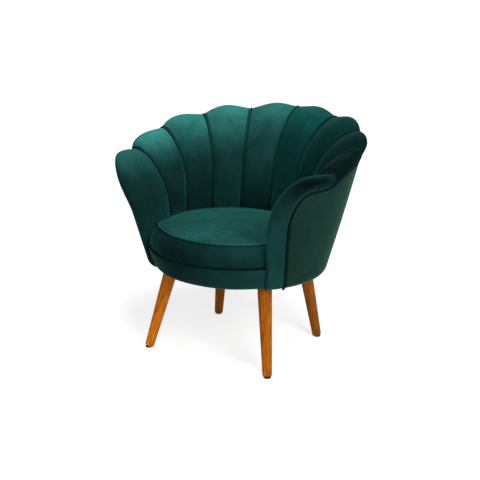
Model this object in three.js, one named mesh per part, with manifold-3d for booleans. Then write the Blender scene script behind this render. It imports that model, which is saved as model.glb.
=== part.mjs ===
// A scallop back tub chair: ten padded channels fan round the seat and roll over the crest,
// a smooth outer cover closes the back, a round seat cushion sits between the arms on webbing,
// and four splayed round legs carry a plywood and timber frame.
// Millimetres, +Z up, the front faces -Y, the floor is at zero, and left and right are the sitter's.
// The shell is described by three shell coordinates. The angle is measured from the centre of the
// back, in degrees, and is positive to the sitter's left. The height is measured from the floor. The
// inset is measured inward from the outer face. An arm's outline is drawn in angle and height alone.
import * as THREE from "three";
import { mergeVertices } from "three/addons/utils/BufferGeometryUtils.js";
import Module from "manifold-3d";

const wasm = await Module();
wasm.setup();

// Overall shell
const undersideHeight = 290;
const crestHeight = 785; // top of the centre seam
const shellTopRadius = 438; // outer face at the crest height
const baseHalfWidth = 313.5; // outer face at the underside
const baseBackReach = 257.5;
const baseFrontReach = 281;
const lowerEdgeRadius = 34; // roll of the outer face into the underside
const fit = 0.35; // clearance between touching pieces
const layerGap = 0.6; // clearance between the shell's long curved layers

// Padded channels of the back
const channelsPerSide = 4;
const seamSpacingDegrees = 24.8;
const seamDropShares = [0, 0.0485, 0.1015, 0.203, 0.3576]; // crest of each seam, in back heights
const channelFullnesses = [15.5, 21, 22, 22]; // how far each one stands out of its seams at the crest
const channelPeakShares = [0.5, 0.55, 0.6, 0.6]; // where each one is fullest, from its inner seam
const seatFullnessShare = 0.5; // what is left of it at the seat
const outerSeamFullnessShare = 0.5;
const flapFullnessShare = 0.2; // what is left of it on the flap, just above the outer seam
const scallopPower = 2.4;
const backWall = 124; // deepest padding behind the shoulders
const armWall = 105;
const armFrontWall = 84; // the padding grows this thin towards the arm's front
const shoulderDepthShare = 0.47; // how far below the crest the padding is deepest, in back heights
const wallThinningShare = 0.14;
const crestInset = 18; // the crest line lies this far in from the outer face
const flapDrop = 37; // from the crest down to the outer seam
const flapProud = 1.5;
const seatLineRise = 165; // above the underside; the padding's inner face runs straight down from here

// Arm outline in angle and height
const cornerDegrees = 112; // where the arm's top starts to turn down
const armTopShare = 0.6727; // how high the arm's top and its corner are, in back heights
const armCornerShare = 0.1364;
const armCornerSpreadDegrees = 21.6;
const armFrontSweepDegrees = 2.2; // the front edge leans back by this much towards the floor
const armSweepPowerShare = 1;
const armFullness = 12;
const armFullnessReach = 80;
const armFullnessRise = 100; // an arm stands out less and less below this height over the seat line
const armNoseReach = 42; // within this of the arm's edge, its inner face follows the outer one's taper
const armRoll = 17; // how far the arm's edge rolls out over the welt
const armRollDrop = 52; // it fades from this far below the arm's top down to the seat line
const armRollRampShare = 0.3;
const facingNoseInset = 4; // what is left of the front's rounding where the facing starts
const armFlapDrop = 51; // from the arm's top down to its outer seam
const armWeltCornerRise = 12;
const armWeltSpreadDegrees = 11.1;
const armWeltSweepDegrees = 3;
const weltSweepPowerShare = 1.6;
const armPadEndDegrees = 125.5; // foot of the arm pad's last section
const armFacingEndDegrees = 132.3; // where the arm facing meets the front border

// Cover, boards and trim
const coverThickness = 7;
const flangeInset = 48; // the covers turn under the base to here
const flangeThickness = 4.6;
const boardThickness = 12;
const boardAboveSeam = 7;
const armBoardSetback = 30;
const backBoardEndDegrees = 62;
const boardJoint = 1;
const weltRadius = 2.8;
const weltGap = 4.3; // half the height left open for the welt between cover and padding
const weltTail = 4; // the edge welt sticks out below the underside by this much
const pipingRadius = 3.2;
const pipingLift = 1.5; // the piping's underside stands off the seam valley by this much
const borderInset = 8;
const borderRecess = 8; // the border's ends lie this much further in than its middle
const recessStartDegrees = 18; // from the middle of the front
const recessRunDegrees = 26;

// Timber frame
const baseBoardThickness = 18;
const rollClearance = 3.2; // between the timber and the covers rolled round it
const seatFrameHeight = 73; // from the underside to the top of the rails
const frontRailDepth = 92; // from the rail's outer edge at the middle to its straight inner edge
const backRailDepth = 66;
const sideRailWidth = 84;
const legBlockSide = 50;
const deckThickness = 4;

// Webbing and cushion
const strapWidth = 50;
const strapThickness = 1.4;
const strapCount = 3;
const strapSpacing = 92;
const strapBearing = 26; // how far a strap's end lies on its rail
const cushionThickness = 68; // side height, up to the piping
const cushionCrown = 13;
const cushionCrownPower = 2.4;
const cushionClearance = 3.2;
const cushionCenterOffset = -32; // the middle of its sides, in front of the shell's axis line
const cushionHalfWidth = 235;
const cushionBackReach = 232; // from that middle
const cushionBackPower = 2.2;
const cushionFrontInset = 10; // the front's lower edge lies this far behind the shell's outer face
const cushionFrontLean = 34; // its top edge lies further back by this much
const cushionLeanPower = 3.4;
const cushionCornerPower = 16; // the higher, the sharper the corners between front and sides
const cushionSideDraw = 5;
const cushionEdgeCut = 7;
const cushionEdgeRise = 10;
const cushionPipingRadius = 3;
const cushionPipingInset = 0.9;

// Legs and their hardware
const footRadius = 15.5;
const legTopRadius = 24.8;
const frontFootHalfWidth = 241; // from the middle of the chair to a foot's centre
const frontFootReach = 198;
const frontLegLeanShares = { inward: 0.193, back: 0.25 };
const backFootHalfWidth = 212.5;
const backFootReach = 204;
const backLegLeanShares = { inward: 0.15, back: -0.114 };
const glideHeight = 4.6;
const glideRadius = 12.5;
const teeNutRadius = 13;
const teeNutThickness = 2.4;
const boltRadius = 4;
const boltInLeg = 40;
const boltBelowBlockTop = 14;
const dustCoverThickness = 1.4;

// Facets
const channelSteps = 6;
const shoulderSteps = 8;
const flapSteps = 4;
const armSteps = { top: 4, corner: 8, front: 4 };
const armTraceSteps = 48;
const armRowShares = [1, 0.8, 0.62, 0.46, 0.33, 0.22, 0.13, 0.065, 0.022];
const lowerEdgeSteps = 4;
const tubeSides = 6;
const facingColumns = 3;
const roundSides = 20;
const cornerStopShare = 0.985; // a panel's last column stops this far round its corner
const columnEndShare = 0.3; // no column stands nearer to a panel's end than this share of a step
const cushionSides = 72;
const cushionCrownShares = [0.86, 0.68, 0.48, 0.26];

const degrees = Math.PI / 180;
const quarterTurn = Math.PI / 2;
const mix = (from, to, share) => from + (to - from) * share;
const clamp01 = (value) => Math.min(Math.max(value, 0), 1);
const smoothStep = (value) => clamp01(value) ** 2 * (3 - 2 * clamp01(value));
const spread = (count, at) => Array.from({ length: count + 1 }, (_, i) => at(i / count));
const seatLine = undersideHeight + seatLineRise;
const backHeight = crestHeight - seatLine;
const shoulderDepth = shoulderDepthShare * backHeight;
const seamDrops = seamDropShares.map((share) => share * backHeight);
const armTopHeight = seatLine + armTopShare * backHeight;
const armCornerHeight = seatLine + armCornerShare * backHeight;
const armRollHeight = armTopHeight - armRollDrop;
const armWeltTop = armTopHeight - armFlapDrop;
const armWeltCorner = armCornerHeight + armWeltCornerRise;
const seatRailTop = undersideHeight + seatFrameHeight;
const seamDegrees = (seam) => seam * seamSpacingDegrees;
const lastSeamDegrees = seamDegrees(channelsPerSide);
const boardInset = coverThickness + layerGap;
const padInset = boardInset + boardThickness + layerGap;
const borderThickness = boardInset + boardThickness - borderInset;
const lowerEdgeTop = undersideHeight + lowerEdgeRadius;
const baseBoardBottom = undersideHeight + flangeThickness + fit;
const baseBoardTop = baseBoardBottom + baseBoardThickness;
const seatRailBottom = baseBoardTop + fit;
const strapBottom = seatRailTop + fit;
const deckBottom = strapBottom + 2 * (strapThickness + fit);
const deckTop = deckBottom + deckThickness;
const padBottom = deckTop + fit;
const cushionEdge = padBottom + cushionThickness;
const legTop = baseBoardBottom - fit;

// Materials, and the group that holds the pieces
const materials = {
  velvet: { color: 0x0f4a40, roughness: 0.85, metalness: 0 },
  welt: { color: 0x07231f, roughness: 0.9, metalness: 0 },
  stainedWood: { color: 0xa8561d, roughness: 0.45, metalness: 0 },
  plywood: { color: 0xd2b382, roughness: 0.7, metalness: 0 },
  pine: { color: 0xdcc08f, roughness: 0.75, metalness: 0 },
  webbing: { color: 0xb9a787, roughness: 0.9, metalness: 0 },
  lining: { color: 0x17181a, roughness: 0.95, metalness: 0 },
  steel: { color: 0x8d9298, roughness: 0.35, metalness: 1 },
  plastic: { color: 0x141414, roughness: 0.5, metalness: 0 },
};

const chair = new THREE.Group();
function add(name, geometry, material) {
  const mesh = new THREE.Mesh(geometry, new THREE.MeshStandardMaterial(materials[material]));
  mesh.name = name;
  chair.add(mesh);
}

// The shell
// A point of the shell. The flare height is where the shell's radii are read, when not at the height.
function shellPoint(angle, height, inset, flareHeight = height) {
  const rise = (flareHeight - undersideHeight) / (crestHeight - undersideHeight);
  const baseReach = Math.cos(angle * degrees) > 0 ? baseBackReach : baseFrontReach;
  const side = mix(baseHalfWidth, shellTopRadius, rise) - inset;
  const reach = mix(baseReach, shellTopRadius, rise) - inset;
  return new THREE.Vector3(side * Math.sin(angle * degrees), reach * Math.cos(angle * degrees), height);
}

function signedVolume(positions, indices) {
  const corner = (i) => new THREE.Vector3().fromArray(positions, 3 * i);
  let sum = 0;
  for (let i = 0; i < indices.length; i += 3)
    sum += corner(indices[i]).dot(corner(indices[i + 1]).cross(corner(indices[i + 2])));
  return sum;
}

// Triangles that fill a flat or nearly flat ring of points, wound as the ring is.
function capTriangles(ring) {
  const normal = new THREE.Vector3();
  ring.forEach((p, i) => {
    const q = ring[(i + 1) % ring.length];
    normal.add(new THREE.Vector3().crossVectors(p, q));
  });
  normal.normalize();
  const across = new THREE.Vector3().subVectors(ring[1], ring[0]).projectOnPlane(normal).normalize();
  const upward = new THREE.Vector3().crossVectors(normal, across);
  const flat = ring.map((p) => new THREE.Vector2(p.dot(across), p.dot(upward)));
  return THREE.ShapeUtils.triangulateShape(flat, []).map(([a, b, c]) => {
    const ab = flat[b].clone().sub(flat[a]);
    const ac = flat[c].clone().sub(flat[a]);
    return ab.cross(ac) > 0 ? [a, b, c] : [a, c, b];
  });
}

// A closed skin over rings of equally many points: capped at both ends, or joined into a loop.
function loft(rings, looped = false) {
  const count = rings[0].length;
  const positions = rings.flat().flatMap((p) => p.toArray());
  const indices = [];
  const spans = looped ? rings.length : rings.length - 1;
  for (let r = 0; r < spans; r++)
    for (let i = 0; i < count; i++) {
      const here = r * count;
      const next = ((r + 1) % rings.length) * count;
      const j = (i + 1) % count;
      indices.push(here + i, here + j, next + j, here + i, next + j, next + i);
    }
  if (!looped) {
    const end = (rings.length - 1) * count;
    for (const [a, b, c] of capTriangles(rings[0])) indices.push(a, c, b);
    for (const [a, b, c] of capTriangles(rings.at(-1))) indices.push(end + a, end + b, end + c);
  }
  if (signedVolume(positions, indices) < 0)
    for (let i = 0; i < indices.length; i += 3)
      [indices[i + 1], indices[i + 2]] = [indices[i + 2], indices[i + 1]];
  const geometry = new THREE.BufferGeometry();
  geometry.setAttribute("position", new THREE.Float32BufferAttribute(positions, 3));
  geometry.setIndex(indices);
  return geometry;
}

// Booleans
function solid(geometry) {
  const bare = geometry.clone();
  bare.deleteAttribute("normal");
  bare.deleteAttribute("uv");
  const merged = mergeVertices(bare);
  return new wasm.Manifold(
    new wasm.Mesh({
      numProp: 3,
      vertProperties: new Float32Array(merged.attributes.position.array),
      triVerts: new Uint32Array(merged.index.array),
    }),
  );
}

function geometryOf(manifold) {
  const mesh = manifold.getMesh();
  const geometry = new THREE.BufferGeometry();
  geometry.setAttribute("position", new THREE.BufferAttribute(mesh.vertProperties, mesh.numProp));
  geometry.setIndex(new THREE.BufferAttribute(mesh.triVerts, 1));
  return geometry;
}

const cutFrom = (geometry, cutters) =>
  geometryOf(cutters.reduce((left, cutter) => left.subtract(solid(cutter)), solid(geometry)));

// A round tube along a path, its ends cut square.
function tube(path, radius, sides, looped = false) {
  const rings = path.map((point, i) => {
    const before = path[looped ? (i + path.length - 1) % path.length : Math.max(i - 1, 0)];
    const after = path[looped ? (i + 1) % path.length : Math.min(i + 1, path.length - 1)];
    const along = new THREE.Vector3().subVectors(after, before).normalize();
    const outward = new THREE.Vector3(point.x, point.y, 0).normalize();
    const side = new THREE.Vector3().crossVectors(along, outward).normalize();
    const lift = new THREE.Vector3().crossVectors(side, along);
    return spread(sides, (share) => share * 2 * Math.PI)
      .slice(0, sides)
      .map((turn) =>
        point
          .clone()
          .addScaledVector(side, radius * Math.cos(turn))
          .addScaledVector(lift, radius * Math.sin(turn)),
      );
  });
  return loft(rings, looped);
}

// A round bar between two level circles, which may stand off to one side of each other.
function leaningBar(bottom, top, bottomRadius, topRadius, sides) {
  const circle = (center, radius) =>
    spread(sides, (share) => share * 2 * Math.PI)
      .slice(0, sides)
      .map((turn) => new THREE.Vector3(radius * Math.cos(turn), radius * Math.sin(turn), 0).add(center));
  return loft([circle(bottom, bottomRadius), circle(top, topRadius)]);
}

function block(center, side, bottom, top) {
  const geometry = new THREE.BoxGeometry(side, side, top - bottom);
  return geometry.translate(center.x, center.y, (bottom + top) / 2);
}

// Crest, seams and wall
const bump = (share) => 1 - Math.abs(2 * share - 1) ** scallopPower;

// A channel's outline across, from its inner seam to its outer one, fullest at its peak.
function scallop(number, share) {
  const peak = channelPeakShares[number - 1];
  return bump(share < peak ? share / peak / 2 : 1 - (1 - share) / (1 - peak) / 2);
}

// Where an angle lies: the fullness there, and the height of the line between the seam crests.
function channelPlace(angle) {
  const seams = Math.min(Math.abs(angle), lastSeamDegrees) / seamSpacingDegrees;
  const first = Math.min(Math.floor(seams), channelsPerSide - 1);
  const share = seams - first;
  const crest = crestHeight - mix(seamDrops[first], seamDrops[first + 1], share);
  return { fullness: channelFullnesses[first] * scallop(first + 1, share), crest };
}

function outerSeamHeight(angle) {
  const { fullness, crest } = channelPlace(angle);
  return crest - flapDrop + fullness * outerSeamFullnessShare;
}

function fullWall(angle) {
  const turned = Math.abs(angle);
  const past = clamp01((turned - lastSeamDegrees) / (cornerDegrees + armCornerSpreadDegrees - lastSeamDegrees));
  return mix(backWall, armWall, clamp01(turned / lastSeamDegrees)) - (armWall - armFrontWall) * past;
}

// Depth of the padding at a distance from the crest or from the arm's front edge.
function wallInset(angle, depth, edgeInset = crestInset) {
  const share = clamp01(depth / shoulderDepth);
  const rounded = edgeInset + (fullWall(angle) - edgeInset) * Math.sqrt(1 - (1 - share) ** 2);
  return rounded - wallThinningShare * Math.max(depth - shoulderDepth, 0);
}

// One upright line of the padding through a seam or along the lines between the seams, as heights and
// insets, from the seat over the crest to the outer seam. Swell is what part of the channel's fullness
// stands on each point.
function valleyOutline(angle) {
  const { crest } = channelPlace(angle);
  const middle = (seatLine + crest - shoulderDepth) / 2;
  const points = [
    { height: seatLine, inset: wallInset(angle, crest - seatLine), swell: seatFullnessShare },
    { height: middle, inset: wallInset(angle, crest - middle), swell: (1 + seatFullnessShare) / 2 },
  ];
  for (let i = shoulderSteps; i >= 0; i--) {
    const turn = (quarterTurn * i) / shoulderSteps;
    const inset = crestInset + (fullWall(angle) - crestInset) * Math.sin(turn);
    points.push({ height: crest - shoulderDepth * (1 - Math.cos(turn)), inset, swell: 1 });
  }
  for (let i = 1; i <= flapSteps; i++) {
    const turn = (quarterTurn * i) / flapSteps;
    const inset = crestInset - (crestInset + flapProud) * Math.sin(turn);
    const height = crest - (flapDrop - weltGap) * (1 - Math.cos(turn));
    const swell = mix(1, flapFullnessShare, i / flapSteps);
    points.push({ height, inset, swell: i === flapSteps ? outerSeamFullnessShare : swell });
  }
  return points;
}

// An outline pushed out square to itself, by a length given for each of its points.
function pushedOutline(points, pushAt) {
  return points.map((point, i) => {
    const before = points[Math.max(i - 1, 0)];
    const after = points[Math.min(i + 1, points.length - 1)];
    const rise = after.height - before.height;
    const run = after.inset - before.inset;
    const length = Math.hypot(rise, run);
    const push = pushAt(point);
    if (i === points.length - 1) return { height: point.height + push, inset: point.inset };
    return { height: point.height - (run / length) * push, inset: point.inset + (rise / length) * push };
  });
}

function channelSection(angle, fullness) {
  const outline = pushedOutline(valleyOutline(angle), ({ swell }) => fullness * swell);
  const boardClearance = outerSeamHeight(angle) + boardAboveSeam + layerGap;
  return [
    shellPoint(angle, padBottom, outline[0].inset, outline[0].height),
    ...outline.map(({ height, inset }) => shellPoint(angle, height, inset)),
    shellPoint(angle, outline.at(-1).height, coverThickness),
    shellPoint(angle, boardClearance, coverThickness),
    shellPoint(angle, boardClearance, padInset),
    shellPoint(angle, (boardClearance + padBottom) / 2, padInset),
    shellPoint(angle, padBottom, padInset),
  ];
}

// A gap of this many degrees on each side keeps neighbouring channels apart.
const channelGapDegrees = fit / 2 / (shellTopRadius - backWall) / degrees;

function backChannel(side, number) {
  const sections = spread(channelSteps, (share) => {
    const angle = mix(
      seamDegrees(number - 1) + channelGapDegrees,
      seamDegrees(number) - channelGapDegrees,
      share,
    );
    return channelSection(side * angle, channelFullnesses[number - 1] * scallop(number, share));
  });
  return loft(sections);
}

// Arm outlines: along the top from the last seam, round the corner and down the front.
const armCornerRadius = shellPoint(90, armCornerHeight, 0).x;
const armCornerReach = -shellPoint(180, armCornerHeight, 0).y;
const armDegreesPerLength = 1 / ((armCornerRadius + armCornerReach) / 2) / degrees;
const armEdge = {
  start: crestHeight - seamDrops[channelsPerSide],
  top: armTopHeight,
  corner: armCornerHeight,
  spread: armCornerSpreadDegrees,
  sweep: armFrontSweepDegrees,
  power: armSweepPowerShare,
};
const armWelt = {
  start: crestHeight - seamDrops[channelsPerSide] - flapDrop,
  top: armWeltTop,
  corner: armWeltCorner,
  spread: armWeltSpreadDegrees,
  sweep: armWeltSweepDegrees,
  power: weltSweepPowerShare,
};

const armColumns = [
  ...spread(armSteps.top, (share) => ({ stretch: "top", share })),
  ...spread(armSteps.corner, (share) => ({ stretch: "corner", share })).slice(1),
  ...spread(armSteps.front, (share) => ({ stretch: "front", share })).slice(1),
];

function armFrontAngle(line, height, inset) {
  const fall = clamp01((line.corner - height) / (line.corner - undersideHeight));
  return cornerDegrees + line.spread - inset * armDegreesPerLength - line.sweep * fall ** line.power;
}

function armPoint(line, { stretch, share }, inset, bottom) {
  const spreadDegrees = line.spread - inset * armDegreesPerLength;
  if (stretch === "top") {
    const rise = Math.sin(share * quarterTurn);
    return {
      angle: mix(lastSeamDegrees, cornerDegrees, share),
      height: mix(line.start, line.top, rise) - inset,
    };
  }
  if (stretch === "corner") {
    const turn = share * quarterTurn;
    return {
      angle: cornerDegrees + spreadDegrees * Math.sin(turn),
      height: line.corner + (line.top - line.corner - inset) * Math.cos(turn),
    };
  }
  const height = mix(line.corner, bottom, share);
  return { angle: armFrontAngle(line, height, inset), height };
}

// Height of an arm's outline at one angle, past the last seam.
function armHeightAt(line, angle, inset) {
  if (angle <= cornerDegrees) {
    const along = (angle - lastSeamDegrees) / (cornerDegrees - lastSeamDegrees);
    return mix(line.start, line.top, Math.sin(clamp01(along) * quarterTurn)) - inset;
  }
  const share = (angle - cornerDegrees) / (line.spread - inset * armDegreesPerLength);
  return line.corner + (line.top - line.corner - inset) * Math.sqrt(Math.max(1 - share ** 2, 0));
}

const armEdgeTrace = spread(armTraceSteps, (share) => share).flatMap((share) =>
  ["top", "corner", "front"].map((stretch) => armPoint(armEdge, { stretch, share }, 0, undersideHeight)),
);
const armDistance = (place) =>
  Math.min(
    ...armEdgeTrace.map((edge) =>
      Math.hypot((edge.angle - place.angle) / armDegreesPerLength, edge.height - place.height),
    ),
  );

// How far in the padding reaches at the seat line.
function seatPaddingInset(angle) {
  const turned = Math.abs(angle);
  const { fullness, crest } = channelPlace(angle);
  if (turned <= lastSeamDegrees) return wallInset(angle, crest - seatLine) + fullness * seatFullnessShare;
  if (turned >= armFrontAngle(armEdge, seatLine, 0)) return crestInset;
  return wallInset(angle, armDistance({ angle: turned, height: seatLine }));
}

// The arm's rounded front grows flatter towards the facing below it.
const armNoseInset = (height) =>
  mix(facingNoseInset, crestInset, clamp01((height - padBottom) / (seatLine - padBottom)));

// An arm pad's section runs from a foot on the seat deck to the arm's edge and back to the welt.
function armSection(side, column, columnShare) {
  const start = lastSeamDegrees + layerGap * armDegreesPerLength;
  const pastSeam = (spot) => ({ ...spot, angle: Math.max(spot.angle, start) });
  const edge = pastSeam(armPoint(armEdge, column, 0, padBottom));
  const welt = pastSeam(armPoint(armWelt, column, 0, padBottom));
  const foot = { angle: mix(start, armPadEndDegrees, smoothStep(columnShare)), height: padBottom };
  const nose = armNoseInset(edge.height);
  const rollFade = clamp01((edge.height - seatLine) / (armRollHeight - seatLine));
  const roll = armRoll * rollFade * Math.sin(quarterTurn * clamp01(columnShare / armRollRampShare));
  const between = (from, to, share) => ({
    angle: mix(from.angle, to.angle, share),
    height: mix(from.height, to.height, share),
  });
  const inner = armRowShares.map((share) => {
    const spot = between(edge, foot, share);
    const level = Math.max(spot.height, seatLine);
    const distance = armDistance({ angle: spot.angle, height: level });
    const rise = smoothStep(distance / armFullnessReach);
    const aboveSeat = smoothStep((spot.height - seatLine) / armFullnessRise);
    const swell = armFullness * bump(Math.min(columnShare, 1 / 2)) * rise * aboveSeat;
    const flare = mix(spot.height, level, smoothStep(distance / armNoseReach));
    return shellPoint(side * spot.angle, spot.height, wallInset(spot.angle, distance, nose) + swell, flare);
  });
  const width = Math.hypot((edge.angle - welt.angle) / armDegreesPerLength, edge.height - welt.height);
  const flap = spread(flapSteps, (share) => share * quarterTurn).map((turn) => {
    const spot = between(edge, welt, (1 - weltGap / width) * (1 - Math.cos(turn)));
    return { ...spot, inset: nose - (nose + flapProud) * Math.sin(turn) - roll * Math.sin(2 * turn) };
  });
  const flapEnd = flap.at(-1);
  return [
    ...inner,
    ...flap.map((spot) => shellPoint(side * spot.angle, spot.height, spot.inset)),
    shellPoint(side * flapEnd.angle, flapEnd.height, coverThickness + fit),
    shellPoint(side * foot.angle, foot.height, coverThickness + fit),
  ];
}

// Panels on the shell
// The covers' lower edge: heights, insets of the outer face and of the inner face.
function lowerEdge(inset, thickness) {
  const innerRadius = lowerEdgeRadius - thickness;
  const innerDrop = lowerEdgeRadius - flangeThickness;
  const outer = spread(lowerEdgeSteps, (share) => share * quarterTurn).map((turn) => ({
    height: lowerEdgeTop - lowerEdgeRadius * Math.sin(turn),
    inset: inset + lowerEdgeRadius * (1 - Math.cos(turn)),
  }));
  const inner = spread(lowerEdgeSteps, (share) => (1 - share) * quarterTurn).map((turn) => ({
    height: lowerEdgeTop - innerDrop * Math.sin(turn),
    inset: inset + lowerEdgeRadius - innerRadius * Math.cos(turn),
  }));
  return { outer, inner, flange: inset + flangeInset };
}

// One section of a cover with a turned-under lower edge, from its top down and back up.
function coverSection(angleAt, top, inset, thickness) {
  const { outer, inner, flange } = lowerEdge(inset, thickness);
  const bend = mix(lowerEdgeTop, Math.min(top, armWeltCorner), 1 / 2);
  const spots = [
    { height: top, inset },
    { height: bend, inset },
    ...outer,
    { height: undersideHeight, inset: flange },
    { height: undersideHeight + flangeThickness, inset: flange },
    ...inner,
    { height: bend, inset: inset + thickness },
    { height: top, inset: inset + thickness },
  ];
  return spots.map((spot) => shellPoint(angleAt(spot.height), spot.height, spot.inset));
}

// Columns of a panel stand at the channels' own steps between its two ends, so that layers run parallel.
function columnAngles(from, to) {
  const step = seamSpacingDegrees / channelSteps;
  const angles = [from];
  for (let i = Math.ceil(from / step + columnEndShare); i < to / step - columnEndShare; i++)
    angles.push(i * step);
  angles.push(to);
  return angles;
}

const frontHalfSpan = 180 - armFacingEndDegrees;
const frontAngles = columnAngles(-frontHalfSpan, frontHalfSpan).map((angle) => angle + 180);
const planAngles = [...columnAngles(-armFacingEndDegrees, armFacingEndDegrees), ...frontAngles.slice(1, -1)];
const planRing = (height, inset) => planAngles.map((angle) => shellPoint(angle, height, inset));

// Where a panel's column stands at a height, when its outermost column follows an arm's line.
const leaningAngle = (line, angle, height, inset) =>
  (angle * armFrontAngle(line, height, inset)) / armFrontAngle(line, line.corner, inset);
const lastColumn = (line, inset) =>
  cornerDegrees + (line.spread - inset * armDegreesPerLength) * cornerStopShare;

// Four legs stand under the rolled edges of the covers, which are cut round them.
const legClearances = () =>
  corners.map(({ at }) => {
    const radius = legTopRadius + fit;
    return leaningBar(at(undersideHeight - lowerEdgeRadius), at(lowerEdgeTop), radius, radius, roundSides);
  });

function outerCover() {
  const end = lastColumn(armWelt, weltGap);
  const sections = columnAngles(-end, end).map((angle) => {
    const turned = Math.abs(angle);
    const overArm = turned > lastSeamDegrees;
    const top = overArm ? armHeightAt(armWelt, turned, weltGap) : outerSeamHeight(angle) - weltGap;
    const angleAt = (height) => leaningAngle(armWelt, angle, height, weltGap);
    return coverSection(angleAt, top, 0, coverThickness);
  });
  return cutFrom(loft(sections), legClearances());
}

// The arm pad and the facing below it, which runs down to the underside, are one upholstered piece.
function armPad(side) {
  const sections = armColumns.map((column, i) => armSection(side, column, i / (armColumns.length - 1)));
  const facing = spread(facingColumns, (share) => {
    const start = (height) => armFrontAngle(armWelt, height, -weltGap);
    const angleAt = (height) => side * mix(start(height), armFacingEndDegrees, share);
    return coverSection(angleAt, padBottom + coverThickness, 0, coverThickness);
  });
  const both = geometryOf(solid(loft(sections)).add(solid(loft(facing))));
  return cutFrom(both, [armBoardSleeve(side), ...legClearances()]);
}

// How much further in the front border lies, at an angle from the middle of the front.
const recessAt = (angle) =>
  borderRecess * smoothStep((Math.abs(angle) - recessStartDegrees) / recessRunDegrees);

function frontBorder() {
  const jointDegrees = layerGap * armDegreesPerLength;
  const end = frontHalfSpan - jointDegrees;
  const sections = columnAngles(-end, end).map((angle) => {
    const recess = recessAt(angle);
    return coverSection(() => angle + 180, deckTop, borderInset + recess, borderThickness - recess);
  });
  return cutFrom(loft(sections), legClearances());
}

// A bent board between two angles, or the sleeve that keeps the padding clear of it.
function bentBoard(columns, angleAt, topAt, bottom, outerInset, innerInset) {
  const sections = columns.map((angle) => {
    const top = topAt(angle);
    const middle = (bottom + top) / 2;
    return [
      [bottom, outerInset],
      [middle, outerInset],
      [top, outerInset],
      [top, innerInset],
      [middle, innerInset],
      [bottom, innerInset],
    ].map(([height, inset]) => shellPoint(angleAt(angle, height), height, inset));
  });
  return loft(sections);
}

function boardTop(angle, setback) {
  const turned = Math.abs(angle);
  if (turned > lastSeamDegrees) return armHeightAt(armEdge, turned, setback);
  return outerSeamHeight(angle) + boardAboveSeam + armBoardSetback - setback;
}

const armBoardAngle = (setback) => (angle, height) => leaningAngle(armEdge, angle, height, setback);

function armBoardSleeve(side) {
  const setback = armBoardSetback - layerGap;
  const ends = [side * (lastSeamDegrees - seamSpacingDegrees), side * lastColumn(armEdge, setback)];
  const columns = columnAngles(Math.min(...ends), Math.max(...ends));
  const angleAt = armBoardAngle(setback);
  const topAt = (angle) => boardTop(angle, setback);
  return bentBoard(columns, angleAt, topAt, lowerEdgeTop, coverThickness - layerGap, padInset);
}

// Frame
const legAxis = (x, y, lean) => (height) =>
  new THREE.Vector3(x - Math.sign(x) * lean.inward * height, y + lean.back * height, height);

const corners = [
  { name: "front_left", at: legAxis(frontFootHalfWidth, -frontFootReach, frontLegLeanShares) },
  { name: "front_right", at: legAxis(-frontFootHalfWidth, -frontFootReach, frontLegLeanShares) },
  { name: "back_left", at: legAxis(backFootHalfWidth, backFootReach, backLegLeanShares) },
  { name: "back_right", at: legAxis(-backFootHalfWidth, backFootReach, backLegLeanShares) },
];

const boltBore = (at, bottom, top) =>
  leaningBar(at(bottom), at(top), boltRadius + fit, boltRadius + fit, roundSides);

// How far in the rolled covers reach at a height, with the border's thicker and deeper rolls counted.
function insideRoll(height) {
  const drop = clamp01((lowerEdgeTop - height) / (lowerEdgeRadius - flangeThickness));
  const rolls = [0, borderRecess].map((recess) => {
    const radius = lowerEdgeRadius - borderThickness + recess;
    return borderInset + recess + lowerEdgeRadius - radius * Math.sqrt(1 - drop ** 2);
  });
  return Math.max(...rolls) + rollClearance;
}

function buildBase() {
  const levels = spread(lowerEdgeSteps - 1, (share) => mix(baseBoardBottom, baseBoardTop, share));
  const board = loft(levels.map((height) => planRing(height, insideRoll(height))));
  const through = corners.map(({ at }) => boltBore(at, baseBoardBottom - fit, baseBoardTop + fit));
  add("base_board", cutFrom(board, through), "plywood");

  const dustTop = baseBoardBottom - fit;
  const dustBottom = dustTop - dustCoverThickness;
  const dustInset = flangeInset + borderInset + borderRecess + layerGap;
  const sheet = loft([dustBottom, dustTop].map((z) => planRing(z, dustInset)));
  add("dust_cover", cutFrom(sheet, legClearances()), "lining");
}

function buildLegs() {
  for (const { name, at } of corners) {
    const leg = leaningBar(at(glideHeight + fit), at(legTop), footRadius, legTopRadius, roundSides);
    const socket = boltBore(at, legTop - boltInLeg - fit, legTop + fit);
    add(`${name}_leg`, cutFrom(leg, [socket]), "stainedWood");

    const foot = at(0);
    const glideTop = new THREE.Vector3(foot.x, foot.y, glideHeight);
    add(`${name}_glide`, leaningBar(foot, glideTop, glideRadius, glideRadius, roundSides), "plastic");

    const nutBottom = baseBoardTop + fit;
    const nutTop = nutBottom + teeNutThickness;
    const nut = leaningBar(at(nutBottom), at(nutTop), teeNutRadius, teeNutRadius, roundSides);
    add(`${name}_tee_nut`, cutFrom(nut, [boltBore(at, baseBoardTop, nutTop + fit)]), "steel");

    const blockTop = seatRailTop - fit;
    const boltTop = blockTop - boltBelowBlockTop;
    const bolt = leaningBar(at(legTop - boltInLeg), at(boltTop), boltRadius, boltRadius, roundSides / 2);
    add(`${name}_hanger_bolt`, bolt, "steel");

    const blockBottom = nutTop + fit;
    const timber = block(at((blockBottom + blockTop) / 2), legBlockSide, blockBottom, blockTop);
    add(`${name}_leg_block`, cutFrom(timber, [boltBore(at, blockBottom - fit, boltTop + fit)]), "pine");
  }
}

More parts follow.
